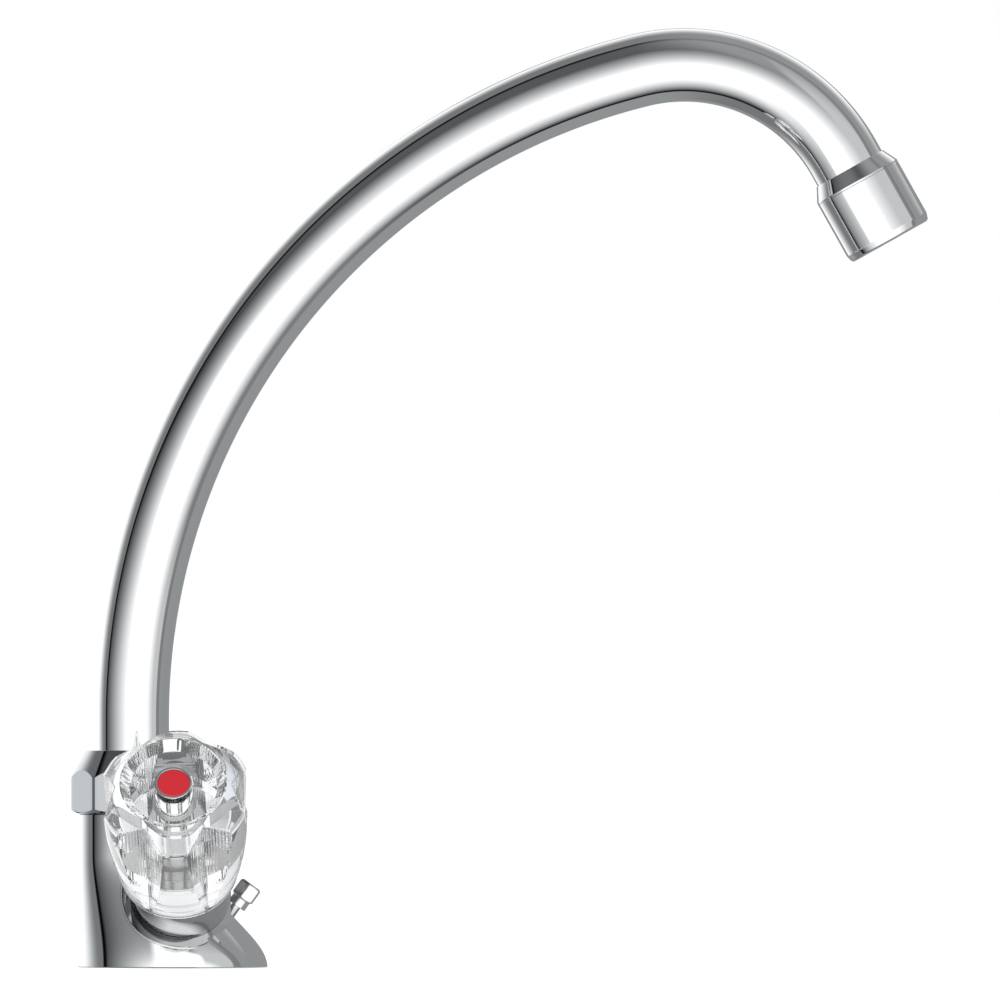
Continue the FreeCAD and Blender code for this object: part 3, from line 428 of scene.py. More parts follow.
def column_seat():
    """The spout's upright axis, from the deck."""
    return Seat(JOINTS["spout_swivel"]["pos_m"], (0.0, 0.0, 1.0))


# Meshes worked out as arrays

QUAD = ((0, 0), (0, 1), (1, 1), (1, 0))


def full_turn(segments):
    """Even turns once round, without the last."""
    return np.linspace(0.0, 2 * math.pi, segments, endpoint=False)


def swept(radius, height, turns):
    """Points (r cos a, r sin a, h) for radii, heights and turns of matching shapes."""
    return np.stack(np.broadcast_arrays(
        radius * np.cos(turns), radius * np.sin(turns), height), axis=-1)


def grid_faces(rows, columns, wrap_rows, wrap_columns):
    """Corner numbers of the quads of a grid whose rows or columns may close on themselves."""
    row = np.arange(rows if wrap_rows else rows - 1)[:, None]
    column = np.arange(columns if wrap_columns else columns - 1)
    return np.stack([(row + down) % rows * columns + (column + along) % columns
                     for down, along in QUAD], axis=-1).reshape(-1, 4)


def end_fans(rows, columns):
    """Triangles from the first and the last row of a grid to two poles that follow its points."""
    column = np.arange(columns)
    ahead = (column + 1) % columns
    pole = column * 0 + rows * columns
    last = (rows - 1) * columns
    return np.concatenate([np.stack([pole, ahead, column], axis=-1),
                           np.stack([pole + 1, last + column, last + ahead], axis=-1)])


def mesh_object(name, points, faces, fans=None, sharp=35.0):
    """A smooth-shaded object from arrays of points, faces and fans, creased past an angle."""
    mesh = bpy.data.meshes.new(name)
    faces = faces.tolist() + ([] if fans is None else fans.tolist())
    mesh.from_pydata(points.reshape(-1, 3).tolist(), [], faces)
    mesh.update()
    mesh.shade_smooth()
    mesh.set_sharp_from_angle(angle=math.radians(sharp))
    item = bpy.data.objects.new(name, mesh)
    bpy.context.scene.collection.objects.link(item)
    return item


def places(mesh):
    """Places of a mesh's points, as an array."""
    place = np.empty(len(mesh.vertices) * 3)
    mesh.vertices.foreach_get("co", place)
    return place.reshape(-1, 3)


def unit(ways):
    """Ways, one a row, made one long."""
    return ways / np.linalg.norm(ways, axis=1, keepdims=True)


def between(first, second, share):
    """Values at shares of the way from one value to another, for every turn."""
    first, second = np.broadcast_arrays(first, second)
    return first[:, None] + (second - first)[:, None] * share


def repeated(part, pitch, count):
    """The turns of one part of a piece and of its repeats round the piece."""
    return (part + pitch * np.arange(count)[:, None]).ravel()


def mark(item, name, values, domain="POINT"):
    """A number kept at every point or face of a piece, for its material."""
    kept = item.data.attributes.get(name) or item.data.attributes.new(name, "FLOAT", domain)
    kept.data.foreach_set("value", values.ravel())


def weigh_normals(item):
    """Let the large faces lead the shading, so that flats stay flat beside rounded edges."""
    weighting = item.modifiers.new("Weighted shading", "WEIGHTED_NORMAL")
    weighting.mode = "FACE_AREA"
    weighting.weight = 100
    weighting.keep_sharp = True


def rounded(corners, radius, steps=4):
    """Closed outlines with each corner cut off by a parabola that leaves it at a radius.

    The corners are an array (..., corner, radius and height): one outline or many."""
    corners = np.array(corners, dtype=float)
    ends = []
    for side in (1, -1):
        way = np.roll(corners, side, axis=-2) - corners
        reach = np.linalg.norm(way, axis=-1, keepdims=True)
        ends.append(corners + way / reach * np.minimum(radius, reach * 0.45))
    start, end = ends
    share = np.linspace(0.0, 1.0, steps + 1)[:, None]
    arc = (start[..., None, :] * (1 - share) ** 2 + corners[..., None, :] * 2 * share * (1 - share)
           + end[..., None, :] * share ** 2)
    return arc.reshape(*corners.shape[:-2], -1, 2)


def face_outwards(item):
    """Join corners that coincide and turn every face of a closed piece outwards."""
    shape = bmesh.new()
    shape.from_mesh(item.data)
    bmesh.ops.remove_doubles(shape, verts=shape.verts, dist=0.001 * MM)
    bmesh.ops.recalc_face_normals(shape, faces=shape.faces)
    shape.to_mesh(item.data)
    shape.free()


def turned_piece(name, seat, corners, radius, segments=144, dim=None, solid=False):
    """A piece turned from an outline of (radius, height) in millimetres, with its edges rounded.

    Every point is (r cos a, r sin a, h) for an outline point (r, h) and a turn a. The outline is
    closed; a solid's starts and ends on the axis. A rule may say how much painted shade darkens the
    finish at (r, h)."""
    outline = rounded(corners, radius / MM)
    if solid:
        outline = outline[:-1][outline[:-1, 0] > 0.0001]
    dimness = np.zeros(len(outline)) if dim is None else dim(outline[:, 0], outline[:, 1])
    dimness = np.repeat(dimness, segments)
    outline = outline * MM
    points = swept(outline[:, :1], outline[:, 1:], full_turn(segments)).reshape(-1, 3)
    fans = None
    if solid:
        poles = np.array([(0.0, 0.0, outline[0, 1]), (0.0, 0.0, outline[-1, 1])])
        points = np.concatenate([points, poles])
        dimness = np.append(dimness, (0.0, 0.0))
        fans = end_fans(len(outline), segments)
    item = mesh_object(name, seat.carry(points),
                       grid_faces(len(outline), segments, not solid, True), fans)
    # Painted shade kept at every point, for the plating to darken.
    mark(item, "dim", dimness)
    face_outwards(item)
    weigh_normals(item)
    return item


def stand_in(item, node, look=None):
    """Let a piece replace a CAD node, ride on its body and take its finish, or another look."""
    slot = slot_of(node)
    item.data.materials.clear()
    item.data.materials.append(finish_of(look or slot))
    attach(item, frame["nodes"][node]["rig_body"])
    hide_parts(node)


def merged_copy(node, name, ease=None):
    """A copy of a CAD node with its corners joined, smooth up to a crease angle of 30 degrees.

    Edges that a rule picks out are eased by a small bevel. The triangles are put in the order of
    their corners' numbers, so that every run gives the same mesh."""
    shape = bmesh.new()
    shape.from_mesh(frame["nodes"][node].data)
    bmesh.ops.remove_doubles(shape, verts=shape.verts, dist=0.002 * MM)
    if ease is not None:
        edges = [edge for edge in shape.edges if ease(edge)]
        bmesh.ops.bevel(shape, geom=edges, offset=0.25 * MM, segments=1, affect="EDGES")
        bmesh.ops.triangulate(shape, faces=shape.faces)
    shape.verts.index_update()
    points = np.array([vert.co[:] for vert in shape.verts])
    corners = np.array([[vert.index for vert in face.verts] for face in shape.faces])
    shape.free()
    lowest = corners.argmin(axis=1)[:, None]
    corners = np.take_along_axis(corners, (lowest + np.arange(3)) % 3, axis=1)
    return mesh_object(name, points, corners[np.lexsort(corners.T[::-1])], sharp=30.0)


# Forms of this tap

BOSS_RADIUS = 15.0 * MM
RECESS_RADIUS = 17.2 * MM
RECESS_LOW = -2.5 * MM
TUBE_IN_COLLAR = 3.0 * MM


def bell_radius(height, sizes):
    """Radius of the bell, and its slope, at heights: a cosine from foot to column, drawn in low."""
    share = np.clip(height / sizes.flare_top, 0.0, 1.0)
    turn = share * math.pi
    step = sizes.base_radius - sizes.column_radius
    fall = (1 + np.cos(turn)) / 2 - 0.035 * np.sin(2 * turn) * np.sin(turn)
    rate = -np.sin(turn) / 2 - 0.035 * (2 * np.cos(2 * turn) * np.sin(turn)
                                        + np.sin(2 * turn) * np.cos(turn))
    slope = step * rate * math.pi / sizes.flare_top
    return sizes.column_radius + step * fall, np.where(height < sizes.flare_top, slope, 0.0)


def bell_normals(place, sizes):
    """Normals of the bell at places on it, and how far each place lies outside the bell.

    The bell is level circles of radius r(z) about x = r(z) - base radius, so its normal is along
    (x - c, y, -r' ((x - c) + r)) with c the circle's centre."""
    radius, slope = bell_radius(place[:, 2], sizes)
    out = place[:, 0] - (radius - sizes.base_radius)
    normal = np.stack([out, place[:, 1], -slope * (out + radius)], axis=-1)
    return unit(normal), np.hypot(out, place[:, 1]) - radius


def shade_casting(item, sizes):
    """Give the bell, the column and the turned faces of the casting the normals of their formulas.

    A turned face has its three corners at one distance from an axis, and its normal points away
    from that axis or towards it. The walls and floors of the recesses are darkened with painted shade."""
    mesh = item.data
    place = places(mesh)
    corner_vertex = np.empty(len(mesh.loops), dtype=np.int64)
    mesh.loops.foreach_get("vertex_index", corner_vertex)
    corners = corner_vertex.reshape(-1, 3)
    facing = np.empty(len(mesh.polygons) * 3)
    mesh.polygons.foreach_get("normal", facing)
    facing = facing.reshape(-1, 1, 3)
    split = np.repeat(facing, 3, axis=1)
    for seat in (arm_seat("hot"), arm_seat("cold"), column_seat()):
        away = seat.measure(place)[1]
        distance = np.linalg.norm(away, axis=1)
        away = (away / np.maximum(distance, 1e-9)[:, None])[corners]
        reach = distance[corners]
        even = reach.max(axis=1) - reach.min(axis=1) < 0.02 * MM
        upright = np.abs(facing[:, 0].dot(seat.up)) < 0.02
        turned = even & upright & (reach.min(axis=1) > 1.0 * MM)
        side = np.sign((away * facing).sum(axis=2))
        split = np.where(turned[:, None, None], away * side[:, :, None], split)
    normal, gap = bell_normals(place, sizes)
    near = (np.abs(gap) < 0.08 * MM) & (place[:, 2] < sizes.column_top + 0.01 * MM)
    bell = near[corners].all(axis=1) & ((normal[corners] * facing).sum(axis=2) > 0.9).all(axis=1)
    split = np.where(bell[:, None, None], normal[corners], split)
    mesh.normals_split_custom_set(split.reshape(-1, 3).tolist())
    recess = np.zeros(len(corners), dtype=bool)
    for side in SIDES:
        height, away = arm_seat(side).measure(place)
        reach = np.linalg.norm(away, axis=1)[corners].mean(axis=1)
        deep = height[corners].min(axis=1) > RECESS_LOW
        recess |= (reach < RECESS_RADIUS + 0.1 * MM) & (reach > BOSS_RADIUS) & deep & ~bell
    # Painted shade: the recess walls and floors are darkened halfway towards black.
    mark(item, "dim", recess * 0.5, "FACE")


def recess_lip(side, sizes):
    """Rounded lip of the recess round a valve boss: a thin rod along the edge of the recess.

    The edge is where the recess's cylinder meets the bell; its height w along the arm is found by
    halving. The rod's middle lies a little outside the cylinder and under the bell, and the rod
    thins out to nothing where the bell falls to the recess's floor."""
    rod, beside, rod_sides = 0.44 * MM, 0.42 * MM, 24
    seat = arm_seat(side)
    turn = np.radians(np.arange(0.0, 360.0, 1.0))
    outward = np.cos(turn)[:, None] * seat.across + np.sin(turn)[:, None] * seat.aside
    ring = seat.origin + outward * RECESS_RADIUS
    low, high = np.full(len(turn), -9.0 * MM), np.full(len(turn), 14.0 * MM)
    for _ in range(30):
        middle = (low + high) / 2
        past = bell_normals(ring + middle[:, None] * seat.up, sizes)[1] > 0.0
        high = np.where(past, middle, high)
        low = np.where(past, low, middle)
    start = int(np.argmin(low))
    kept = np.nonzero(np.roll(low, -start) > RECESS_LOW + 0.15 * MM)[0]
    order = (np.arange(kept[0], kept[-1] + 1) + start) % len(turn)
    edge = ring[order] + low[order][:, None] * seat.up
    normal = bell_normals(edge, sizes)[0]
    taper = np.sin(np.linspace(0.02, math.pi - 0.02, len(edge))) ** 0.35
    middle = edge + outward[order] * beside - normal * (0.45 - 0.27 * taper)[:, None] * MM
    along = unit(np.gradient(middle, axis=0))
    second = unit(np.cross(along, normal))
    first = np.cross(second, along)
    thick = (rod * taper)[:, None, None]
    around = full_turn(rod_sides)[None, :, None]
    points = middle[:, None, :] + thick * (np.cos(around) * first[:, None, :]
                                           + np.sin(around) * second[:, None, :])
    item = mesh_object(
        side + "_recess_lip", np.concatenate([points.reshape(-1, 3), middle[:1], middle[-1:]]),
        grid_faces(*points.shape[:2], False, True), end_fans(*points.shape[:2]), sharp=80.0)
    face_outwards(item)
    return item


def arc_route(start, turns, radius):
    """Points and turns of an arc that goes on from a point (out, up).

    Along it the line moves by R (cos a0 - cos a) outwards and R (sin a - sin a0) upwards."""
    out = start[0] + radius * (np.cos(turns[0]) - np.cos(turns))
    up = start[1] + radius * (np.sin(turns) - np.sin(turns[0]))
    return np.stack([out, up, turns], axis=-1)


def spout_route(sizes):
    """Points and turns of the spout's centre line: riser, long sweep, crook and straight end.

    The turn is the angle of the way forward from upright."""
    bend = sizes.sweep_angle + sizes.crook_angle
    riser = np.linspace(sizes.tube_seat, sizes.riser_top, 6)[:-1, None] * np.array([0.0, 1.0, 0.0])
    sweep = arc_route((0.0, sizes.riser_top), np.linspace(0.0, sizes.sweep_angle, 97),
                      sizes.sweep_radius)
    crook = arc_route(sweep[-1], np.linspace(sizes.sweep_angle, bend, 65), sizes.crook_radius)
    tail = np.linspace(0.0, sizes.tail_length + TUBE_IN_COLLAR, 4)[1:, None]
    tail = crook[-1] + tail * np.array([math.sin(bend), math.cos(bend), 0.0])
    return np.concatenate([riser, sweep, crook[1:], tail])


def spout_tube(sizes):
    """The bent tube: a ring of the outer radius carried along the route, and of the inner back.

    Every point is the route's point plus r (cos a n + sin a y), where n is the route's side."""
    segments = 128
    route = spout_route(sizes)
    out, up, lean = np.concatenate([route, route[::-1]]).T[:, :, None]
    radius = np.repeat([sizes.tube_radius, sizes.tube_radius - sizes.tube_wall], len(route))[:, None]
    turn = full_turn(segments)
    points = np.stack([out - radius * (np.cos(turn) * np.cos(lean)), radius * np.sin(turn),
                       up + radius * (np.cos(turn) * np.sin(lean))], axis=-1)
    item = mesh_object("spout_tube_skin", column_seat().carry(points),
                       grid_faces(len(lean), segments, True, True), sharp=40.0)
    face_outwards(item)
    return item


def outlet_seat(sizes):
    """The end of the tube, with Z the way the water leaves."""
    out, up, bend = spout_route(sizes)[-1]
    way = np.array([math.sin(bend), 0.0, math.cos(bend)])
    end = column_seat().carry(np.array([out, 0.0, up])) - way * TUBE_IN_COLLAR
    return Seat(end, way, (math.cos(bend), 0.0, -math.sin(bend)))


def polygon_sides(count, turn, flats, reach):
    """Turns round a regular polygon from one of its corners, and the radius at each.

    It is half the flats over the cosine of the angle from the flat's middle, and the corners are
    turned down to a reach."""
    pitch = 2 * math.pi / count
    eased = pitch / 2 - math.acos(flats / 2 / reach)
    corner, flat = np.linspace(-eased, eased, 9), np.linspace(eased, pitch - eased, 13)[1:-1]
    away = repeated(np.concatenate([corner, flat]), pitch, count)
    radius = np.minimum(flats / 2 / np.cos(away % pitch - pitch / 2), reach)
    return turn + away, radius


def outlines_at(turns, corners, radius):
    """Rounded outlines for every turn, from corners whose radius and height may change with it."""
    corners = [np.stack(np.broadcast_arrays(*corner, turns)[:2], axis=-1) for corner in corners]
    return rounded(np.stack(corners, axis=1), radius, 3)


def ring_of_outlines(name, seat, turns, outlines, sharp=35.0, marks=None):
    """A closed ring whose outline, in metres, is given for every turn.

    Its UV map runs once round the turn and once along the outline, without a break at the seam."""
    rows, columns = outlines.shape[:2]
    points = swept(outlines[..., 0], outlines[..., 1], turns[:, None])
    item = mesh_object(name, seat.carry(points), grid_faces(rows, columns, True, True), sharp=sharp)
    row = np.repeat(np.arange(rows), columns)
    column = np.tile(np.arange(columns), rows)
    around = np.append(turns, turns[0] + 2 * math.pi) / (2 * math.pi)
    chart = [np.stack([around[row + down], (column + along) / columns], axis=-1)
             for down, along in QUAD]
    item.data.uv_layers.new(name="turn").data.foreach_set("uv", np.stack(chart, axis=1).ravel())
    for mark_name, values in (marks or {}).items():
        mark(item, mark_name, values)
    face_outwards(item)
    weigh_normals(item)
    return item


def union_nut(sizes):
    """Union nut: at each turn the outline runs up the foot's bevel, the flat and the cone.

    Bevel and cone end where their radius is the polygon's at that turn, so the creases between
    them are the curved lines that a turned chamfer leaves on flats."""
    reach = sizes.nut_reach
    foot = sizes.column_top
    top = foot + sizes.nut_height
    bevel_in, cone_in = 16.0 * MM, 13.9 * MM
    thread, mouth, shoulder = 14.0 * MM, 11.3 * MM, 13.2 * MM
    ledge, roof = 56.5 * MM, top - 2.4 * MM
    turns, side = polygon_sides(sizes.nut_sides, sizes.nut_turn, sizes.nut_flats, reach)
    bevel_end = foot + 1.5 * MM * (side - bevel_in) / (reach - bevel_in)
    cone_start = top - 8.0 * MM * (side - cone_in) / (reach - cone_in)
    outlines = outlines_at(turns, [
        (thread, foot), (15.85 * MM, foot), (side, np.maximum(bevel_end, foot + 0.06 * MM)),
        (side, cone_start), (cone_in, top), (mouth, top), (mouth, roof), (shoulder, roof),
        (shoulder, ledge), (thread, ledge)], 0.18 * MM)
    return ring_of_outlines("union_nut_skin", column_seat(), turns, outlines)


def grip(side, sizes):
    """Clear handle: at each turn the outline runs up the barrel, the groove and the bevelled top.

    The barrel's radius follows an arc; a groove is two planes along the handle that meet at the
    valley radius, so at an angle d from its middle it lies at valley / (cos d - k sin d). The
    barrel gives way to the groove where their radii are the same, and so does the bevel."""
    foot, top = 15.1 * MM, sizes.top
    bevel_foot = top - sizes.bevel_depth
    pitch = 360.0 / sizes.lobes
    edge = 20.5
    edge_out = sizes.lobe_radius * math.cos(math.radians(edge))
    edge_side = sizes.lobe_radius * math.sin(math.radians(edge))
    lean = (edge_out - sizes.valley_radius) / edge_side
    groove, lobe = np.linspace(-edge, edge, 57), np.linspace(edge, pitch - edge, 25)[1:-1]
    degrees = repeated(np.concatenate([groove, lobe]), pitch, sizes.lobes)
    turns = np.radians(degrees)
    away = np.radians(np.abs((degrees + pitch / 2) % pitch - pitch / 2))
    groove = sizes.valley_radius / (np.cos(away) - lean * np.sin(away))
    groove = np.minimum(groove, sizes.lobe_radius)

    low = np.array([17.6 * MM, foot + 0.5 * MM])
    high = np.array([sizes.lobe_radius, bevel_foot])
    chord = high - low
    middle = (low + high) / 2
    rise = math.sqrt(sizes.barrel_arc ** 2 - chord.dot(chord) / 4)
    centre = middle + np.array([-chord[1], chord[0]]) / np.linalg.norm(chord) * rise
    half = np.sqrt(np.maximum(sizes.barrel_arc ** 2 - (groove - centre[0]) ** 2, 0.0))
    meet, below = centre[1] + half, centre[1] - half
    meet = np.where(np.abs(below - bevel_foot) < np.abs(meet - bevel_foot), below, meet)
    meet = np.clip(np.where(groove > sizes.lobe_radius - 1e-7, bevel_foot, meet), low[1], bevel_foot)
    bevel_fall = sizes.bevel_depth / (sizes.lobe_radius - sizes.top_radius)
    bevel_meet = top - bevel_fall * (groove - sizes.top_radius)

    height = between(low[1], meet, np.linspace(0.0, 1.0, 25))
    barrel = centre[0] + np.sqrt(sizes.barrel_arc ** 2 - (height - centre[1]) ** 2)
    barrel = np.minimum(barrel, groove[:, None])
    share = np.linspace(0.0, 1.0, 13)[1:]
    groove_height = between(meet, bevel_meet, share)
    groove_side = between(groove, groove, share)
    share = np.linspace(0.0, 1.0, 7)[1:]
    bevel_height = between(bevel_meet, top, share)
    bevel_side = between(groove, sizes.top_radius, share)

    bore = sizes.cap_radius + 0.1 * MM
    insert, insert_top, insert_foot = 6.52 * MM, 46.02 * MM, 32.98 * MM
    skirt, ring = 15.5 * MM, 15.95 * MM
    floor = top - sizes.dish_depth
    share = np.linspace(0.0, 1.0, 7)[:, None]
    rim = np.array([[sizes.dish_radius, top]])
    slope = rim + share * (np.array([[sizes.dish_floor, floor]]) - rim)
    rings = [(radius, (low_edge + up) * MM) for low_edge in (21.8, 17.6)
             for radius, up in ((skirt, 1.4), (ring, 1.0), (ring, 0.4), (skirt, 0.0))]
    inner = np.concatenate([slope, np.array([
        (bore, floor), (bore, insert_top), (insert, insert_top), (insert, insert_foot),
        (skirt, insert_foot), *rings, (skirt, foot), (16.5 * MM, foot)])])
    inner = np.repeat(inner[None, :, :], len(turns), axis=0)
    outlines = np.concatenate([
        np.stack([barrel, height], axis=-1),
        np.stack([groove_side, groove_height], axis=-1),
        np.stack([bevel_side, bevel_height], axis=-1),
        inner], axis=1)
    grooves, flutes = np.zeros((2, *outlines.shape[:2]))
    grooved = barrel.shape[1] + np.arange(groove_side.shape[1])
    grooves[:, grooved] = (groove < sizes.lobe_radius - 0.3 * MM)[:, None]
    dish = outlines.shape[1] - inner.shape[1]
    flutes[:, dish + 1:dish + 6] = 1.0
    return ring_of_outlines(side + "_grip_clear", arm_seat(side), turns, outlines, sharp=14.0,
                            marks={"groove": grooves, "flute": flutes})


def stay_seat(sizes):
    """The chain stay's axis, from just outside the front of the bell at the stay's height."""
    front = float(bell_radius(np.array(sizes.stay_height), sizes)[0]) * 2 - sizes.base_radius
    way = (math.cos(sizes.stay_tilt), 0.0, math.sin(sizes.stay_tilt))
    return Seat((front + sizes.stay_proud, 0.0, sizes.stay_height), way,
                (math.sin(sizes.stay_tilt), 0.0, -math.cos(sizes.stay_tilt)))


def dim_back(item, seat, foot):
    """Paint shade on the side of a piece on the stay that faces the column, and on the piece's foot.
    """
    height, away = seat.measure(places(item.data))
    back = np.clip((-away.dot(seat.across) / MM - 0.35) / 0.3, 0.0, 1.0)
    low = np.clip((foot - height / MM) / 0.8, 0.0, 1.0)
    mark(item, "dim", np.maximum(back * 0.62, low * 0.8))


def stay_head(sizes):
    """Hexagonal head of the chain stay on its shank: the outline at each turn, edges rounded."""
    reach = sizes.stay_flats * 0.569
    turns, side = polygon_sides(6, sizes.stay_turn, sizes.stay_flats, reach)
    shank, face, end = 1.5 * MM, 3.0 * MM, -6.0 * MM
    foot, top, chamfer = 4.8 * MM, 10.1 * MM, 0.5 * MM
    outlines = outlines_at(turns, [
        (0.0, end), (shank, end), (shank, foot), (face, foot), (side, foot + chamfer),
        (side, top - chamfer), (face, top), (0.0, top)], 0.3 * MM)
    outlines[:, :, 0] = np.where(outlines[:, :, 0] < 0.01 * MM, 0.0, outlines[:, :, 0])
    return ring_of_outlines("chain_stay_head", stay_seat(sizes), turns, outlines, sharp=40.0)


# Operators

class TapOperator(bpy.types.Operator):
    """Common ground of the tap's operators."""
    bl_options = {"REGISTER", "UNDO"}


class TAP_OT_body(TapOperator):
    """Plate the casting, with the bell's own normals"""
    bl_idname = "tap.body"
    bl_label = "Body Casting"

    def execute(self, context):
        sizes = context.scene.tap_body
        foot = sizes.base_radius - 0.1 * MM
        item = merged_copy("body_casting", "body_casting_skin", ease=lambda edge: all(
            vert.co.z < 0.000001 and vert.co.xy.length > foot for vert in edge.verts))
        shade_casting(item, sizes)
        stand_in(item, "body_casting")
        for side in SIDES:
            stand_in(recess_lip(side, sizes), "body_casting")
        return {"FINISHED"}


class TAP_OT_union_nut(TapOperator):
    """Make the union nut at the foot of the spout"""
    bl_idname = "tap.union_nut"
    bl_label = "Union Nut"

    def execute(self, context):
        stand_in(union_nut(context.scene.tap_body), "spout_nut", "dull")
        return {"FINISHED"}


class TAP_OT_chain_stay(TapOperator):
    """Make the chain stay's hexagonal head and its loose collar"""
    bl_idname = "tap.chain_stay"
    bl_label = "Chain Stay"

    def execute(self, context):
        sizes = context.scene.tap_body
        seat = stay_seat(sizes)
        head = stay_head(sizes)
        collar = [(1.5, 2.2), (2.9, 2.2), (2.9, 4.8), (1.5, 4.8)]
        ring = turned_piece("chain_stay_ring", seat, collar, 0.25 * MM, 72)
        for item, node in ((head, "chain_stay_screw"), (ring, "chain_stay_collar")):
            # Painted shade on the stay's side towards the column and on its foot.
            dim_back(item, seat, 1.6)
            item.visible_glossy = False
            stand_in(item, node)
        return {"FINISHED"}


class TAP_OT_sleeves(TapOperator):
    """Turn the plated sleeves over the two valves"""
    bl_idname = "tap.sleeves"
    bl_label = "Valve Sleeves"

    def execute(self, context):
        outer = context.scene.tap_body.sleeve_radius / MM
        corners = [(6.45, 28.3), (outer - 1.2, 28.3), (outer - 1.2, 0.3), (outer, 0.3),
                   (outer, 14.0), (outer, 17.0), (outer, 29.3), (outer - 1.0, 30.3), (6.45, 30.3)]
        for side in SIDES:
            # Painted shade: the part of each sleeve below the handle's foot is darkened, for a greyer
            # reflection.
            item = turned_piece(side + "_sleeve_skin", arm_seat(side), corners, 0.16 * MM,
                                dim=lambda reach, height: (height < 15.0) * 0.3)
            stand_in(item, side + "_sleeve")
        return {"FINISHED"}


class TAP_OT_spout(TapOperator):
    """Bend the swan-neck tube"""
    bl_idname = "tap.spout"
    bl_label = "Spout Tube"

    def execute(self, context):
        stand_in(spout_tube(context.scene.tap_spout), "spout_tube")
        return {"FINISHED"}


class TAP_OT_outlet(TapOperator):
    """Turn the collar and the aerator housing at the end of the spout"""
    bl_idname = "tap.outlet"
    bl_label = "Outlet"

    def execute(self, context):
        sizes = context.scene.tap_spout
        seat = outlet_seat(sizes)
        tube = sizes.tube_radius / MM
        outer = sizes.housing_radius / MM
        collar = [(tube, 0.0), (tube + 0.35, 0.0), (outer, 4.4), (outer, 5.0), (12.0, 5.0),
                  (12.0, 11.0), (9.0, 11.0), (9.0, 3.0), (tube, 3.0)]
        housing = [(12.0, 5.0), (outer, 5.0), (outer, 22.7), (13.1, 24.5), (12.5, 25.0),
                   (9.6, 25.0), (9.6, 23.4), (11.2, 23.4), (11.2, 11.0), (12.0, 11.0)]
        stand_in(turned_piece("outlet_collar_skin", seat, collar, 0.12 * MM), "outlet_collar")
        item = turned_piece("aerator_housing_skin", seat, housing, sizes.edge_break)
        stand_in(item, "aerator_housing")
        return {"FINISHED"}


class TAP_OT_handles(TapOperator):
    """Make the two clear handles"""
    bl_idname = "tap.handles"
    bl_label = "Clear Handles"

    def execute(self, context):
        sizes = context.scene.tap_handle
        cap = sizes.cap_radius / MM
        top = (sizes.top + sizes.cap_rise) / MM
        disc = sizes.disc_radius / MM
        bowl = [(0.0, top - 1.7), (cap - 1.2, top - 1.7), (cap - 1.2, 56.1), (cap, 56.1),
                (cap, top - 0.6), (cap, top - 0.4), (cap, top), (disc, top), (disc, top - 0.5),
                (0.0, top - 0.5)]
        dot = [(0.0, top - 0.5), (disc, top - 0.5), (disc, top - 0.1), (disc - 0.4, top),
               (0.0, top + 0.05)]
        for side in SIDES:
            seat = arm_seat(side)
            stand_in(grip(side, sizes), side + "_grip")
            # Painted shade: the cap's side below its rim is darkened almost to black, as the shadow of
            # the gap round it.
            item = turned_piece(side + "_cap_skin", seat, bowl, 0.15 * MM, 96, solid=True,
                                dim=lambda reach, height: (height < top - 0.45) * 0.93)
            stand_in(item, side + "_index_cap")
            item = turned_piece(side + "_disc_skin", seat, dot, 0.1 * MM, 96, solid=True)
            stand_in(item, side + "_index_disc")
        return {"FINISHED"}


class TAP_OT_valves(TapOperator):
    """Smooth the pieces that show through the clear handles"""
    bl_idname = "tap.valves"
    bl_label = "Valves"

    def execute(self, context):
        for side in SIDES:
            for part in ("bonnet", "spline_insert", "handle_screw", "spindle", "spindle_clip"):
                node = side + "_" + part
                stand_in(merged_copy(node, node + "_skin"), node)
        return {"FINISHED"}


class TAP_OT_other_parts(TapOperator):
    """Give every piece that stays as it was made its finish"""
    bl_idname = "tap.other_parts"
    bl_label = "Other Parts"

    def execute(self, context):
        for name, item in frame["nodes"].items():
            if item.hide_render:
                continue
            item.data.materials.clear()
            item.data.materials.append(finish_of(slot_of(name)))
        return {"FINISHED"}


def studio_world(finish):
    """The room: a large soft front light, pale walls and a dark gap round the camera's side.

    Directions are counted in degrees from the front, across and up. The light falls off evenly to
    the left and upwards and quickly below; past it the room is dark on the left and underneath up
    to the side walls, mid grey behind, and white behind on the upper left."""
    way = finish.add("TexCoord", output="Generated")
    x, y, z = finish.outputs("XYZ", "SeparateXYZ", {"Vector": way})
    angle = x.math("ARCCOSINE", (-y).least(1.0).most(-1.0)) * (180 / math.pi)
    spread = x.math("SQRT", x * x + z * z).most(0.0001)
    across = x / spread * angle
    up = z / spread * angle
    edge = (across.ramp(-100.0, -20.0) ** 1.5).least(angle.ramp(88.0, 47.0))
    front = edge * up.ramp(80.0, 4.0) ** 2.0
    near = (0.003 + (across + 0.38 * up).step(4.0, 42.0) * 0.2
            + up.step(20.0, 60.0) * angle.ramp(88.0, 82.0) * 0.09)
    wall = 0.18 + across.step(-40.0, 20.0) * 0.1
    room = near + (wall - near) * angle.step(91.0, 94.0)
    panel = (angle.ramp(84.0, 79.0) * across.step(15.0, 35.0)
             * up.step(-40.0, -10.0) * (up.ramp(62.0, 40.0) * 0.16 + 0.38))
    lit = room.most(front).most(panel)
    late = angle - x.math("ABSOLUTE", up) * 0.12
    behind = late.step(98.0, 138.0) * ((z * 0.8 - x * 0.6) / spread).step(-0.4, 0.2)
    return lit + (1.0 - lit) * behind, x, y, z


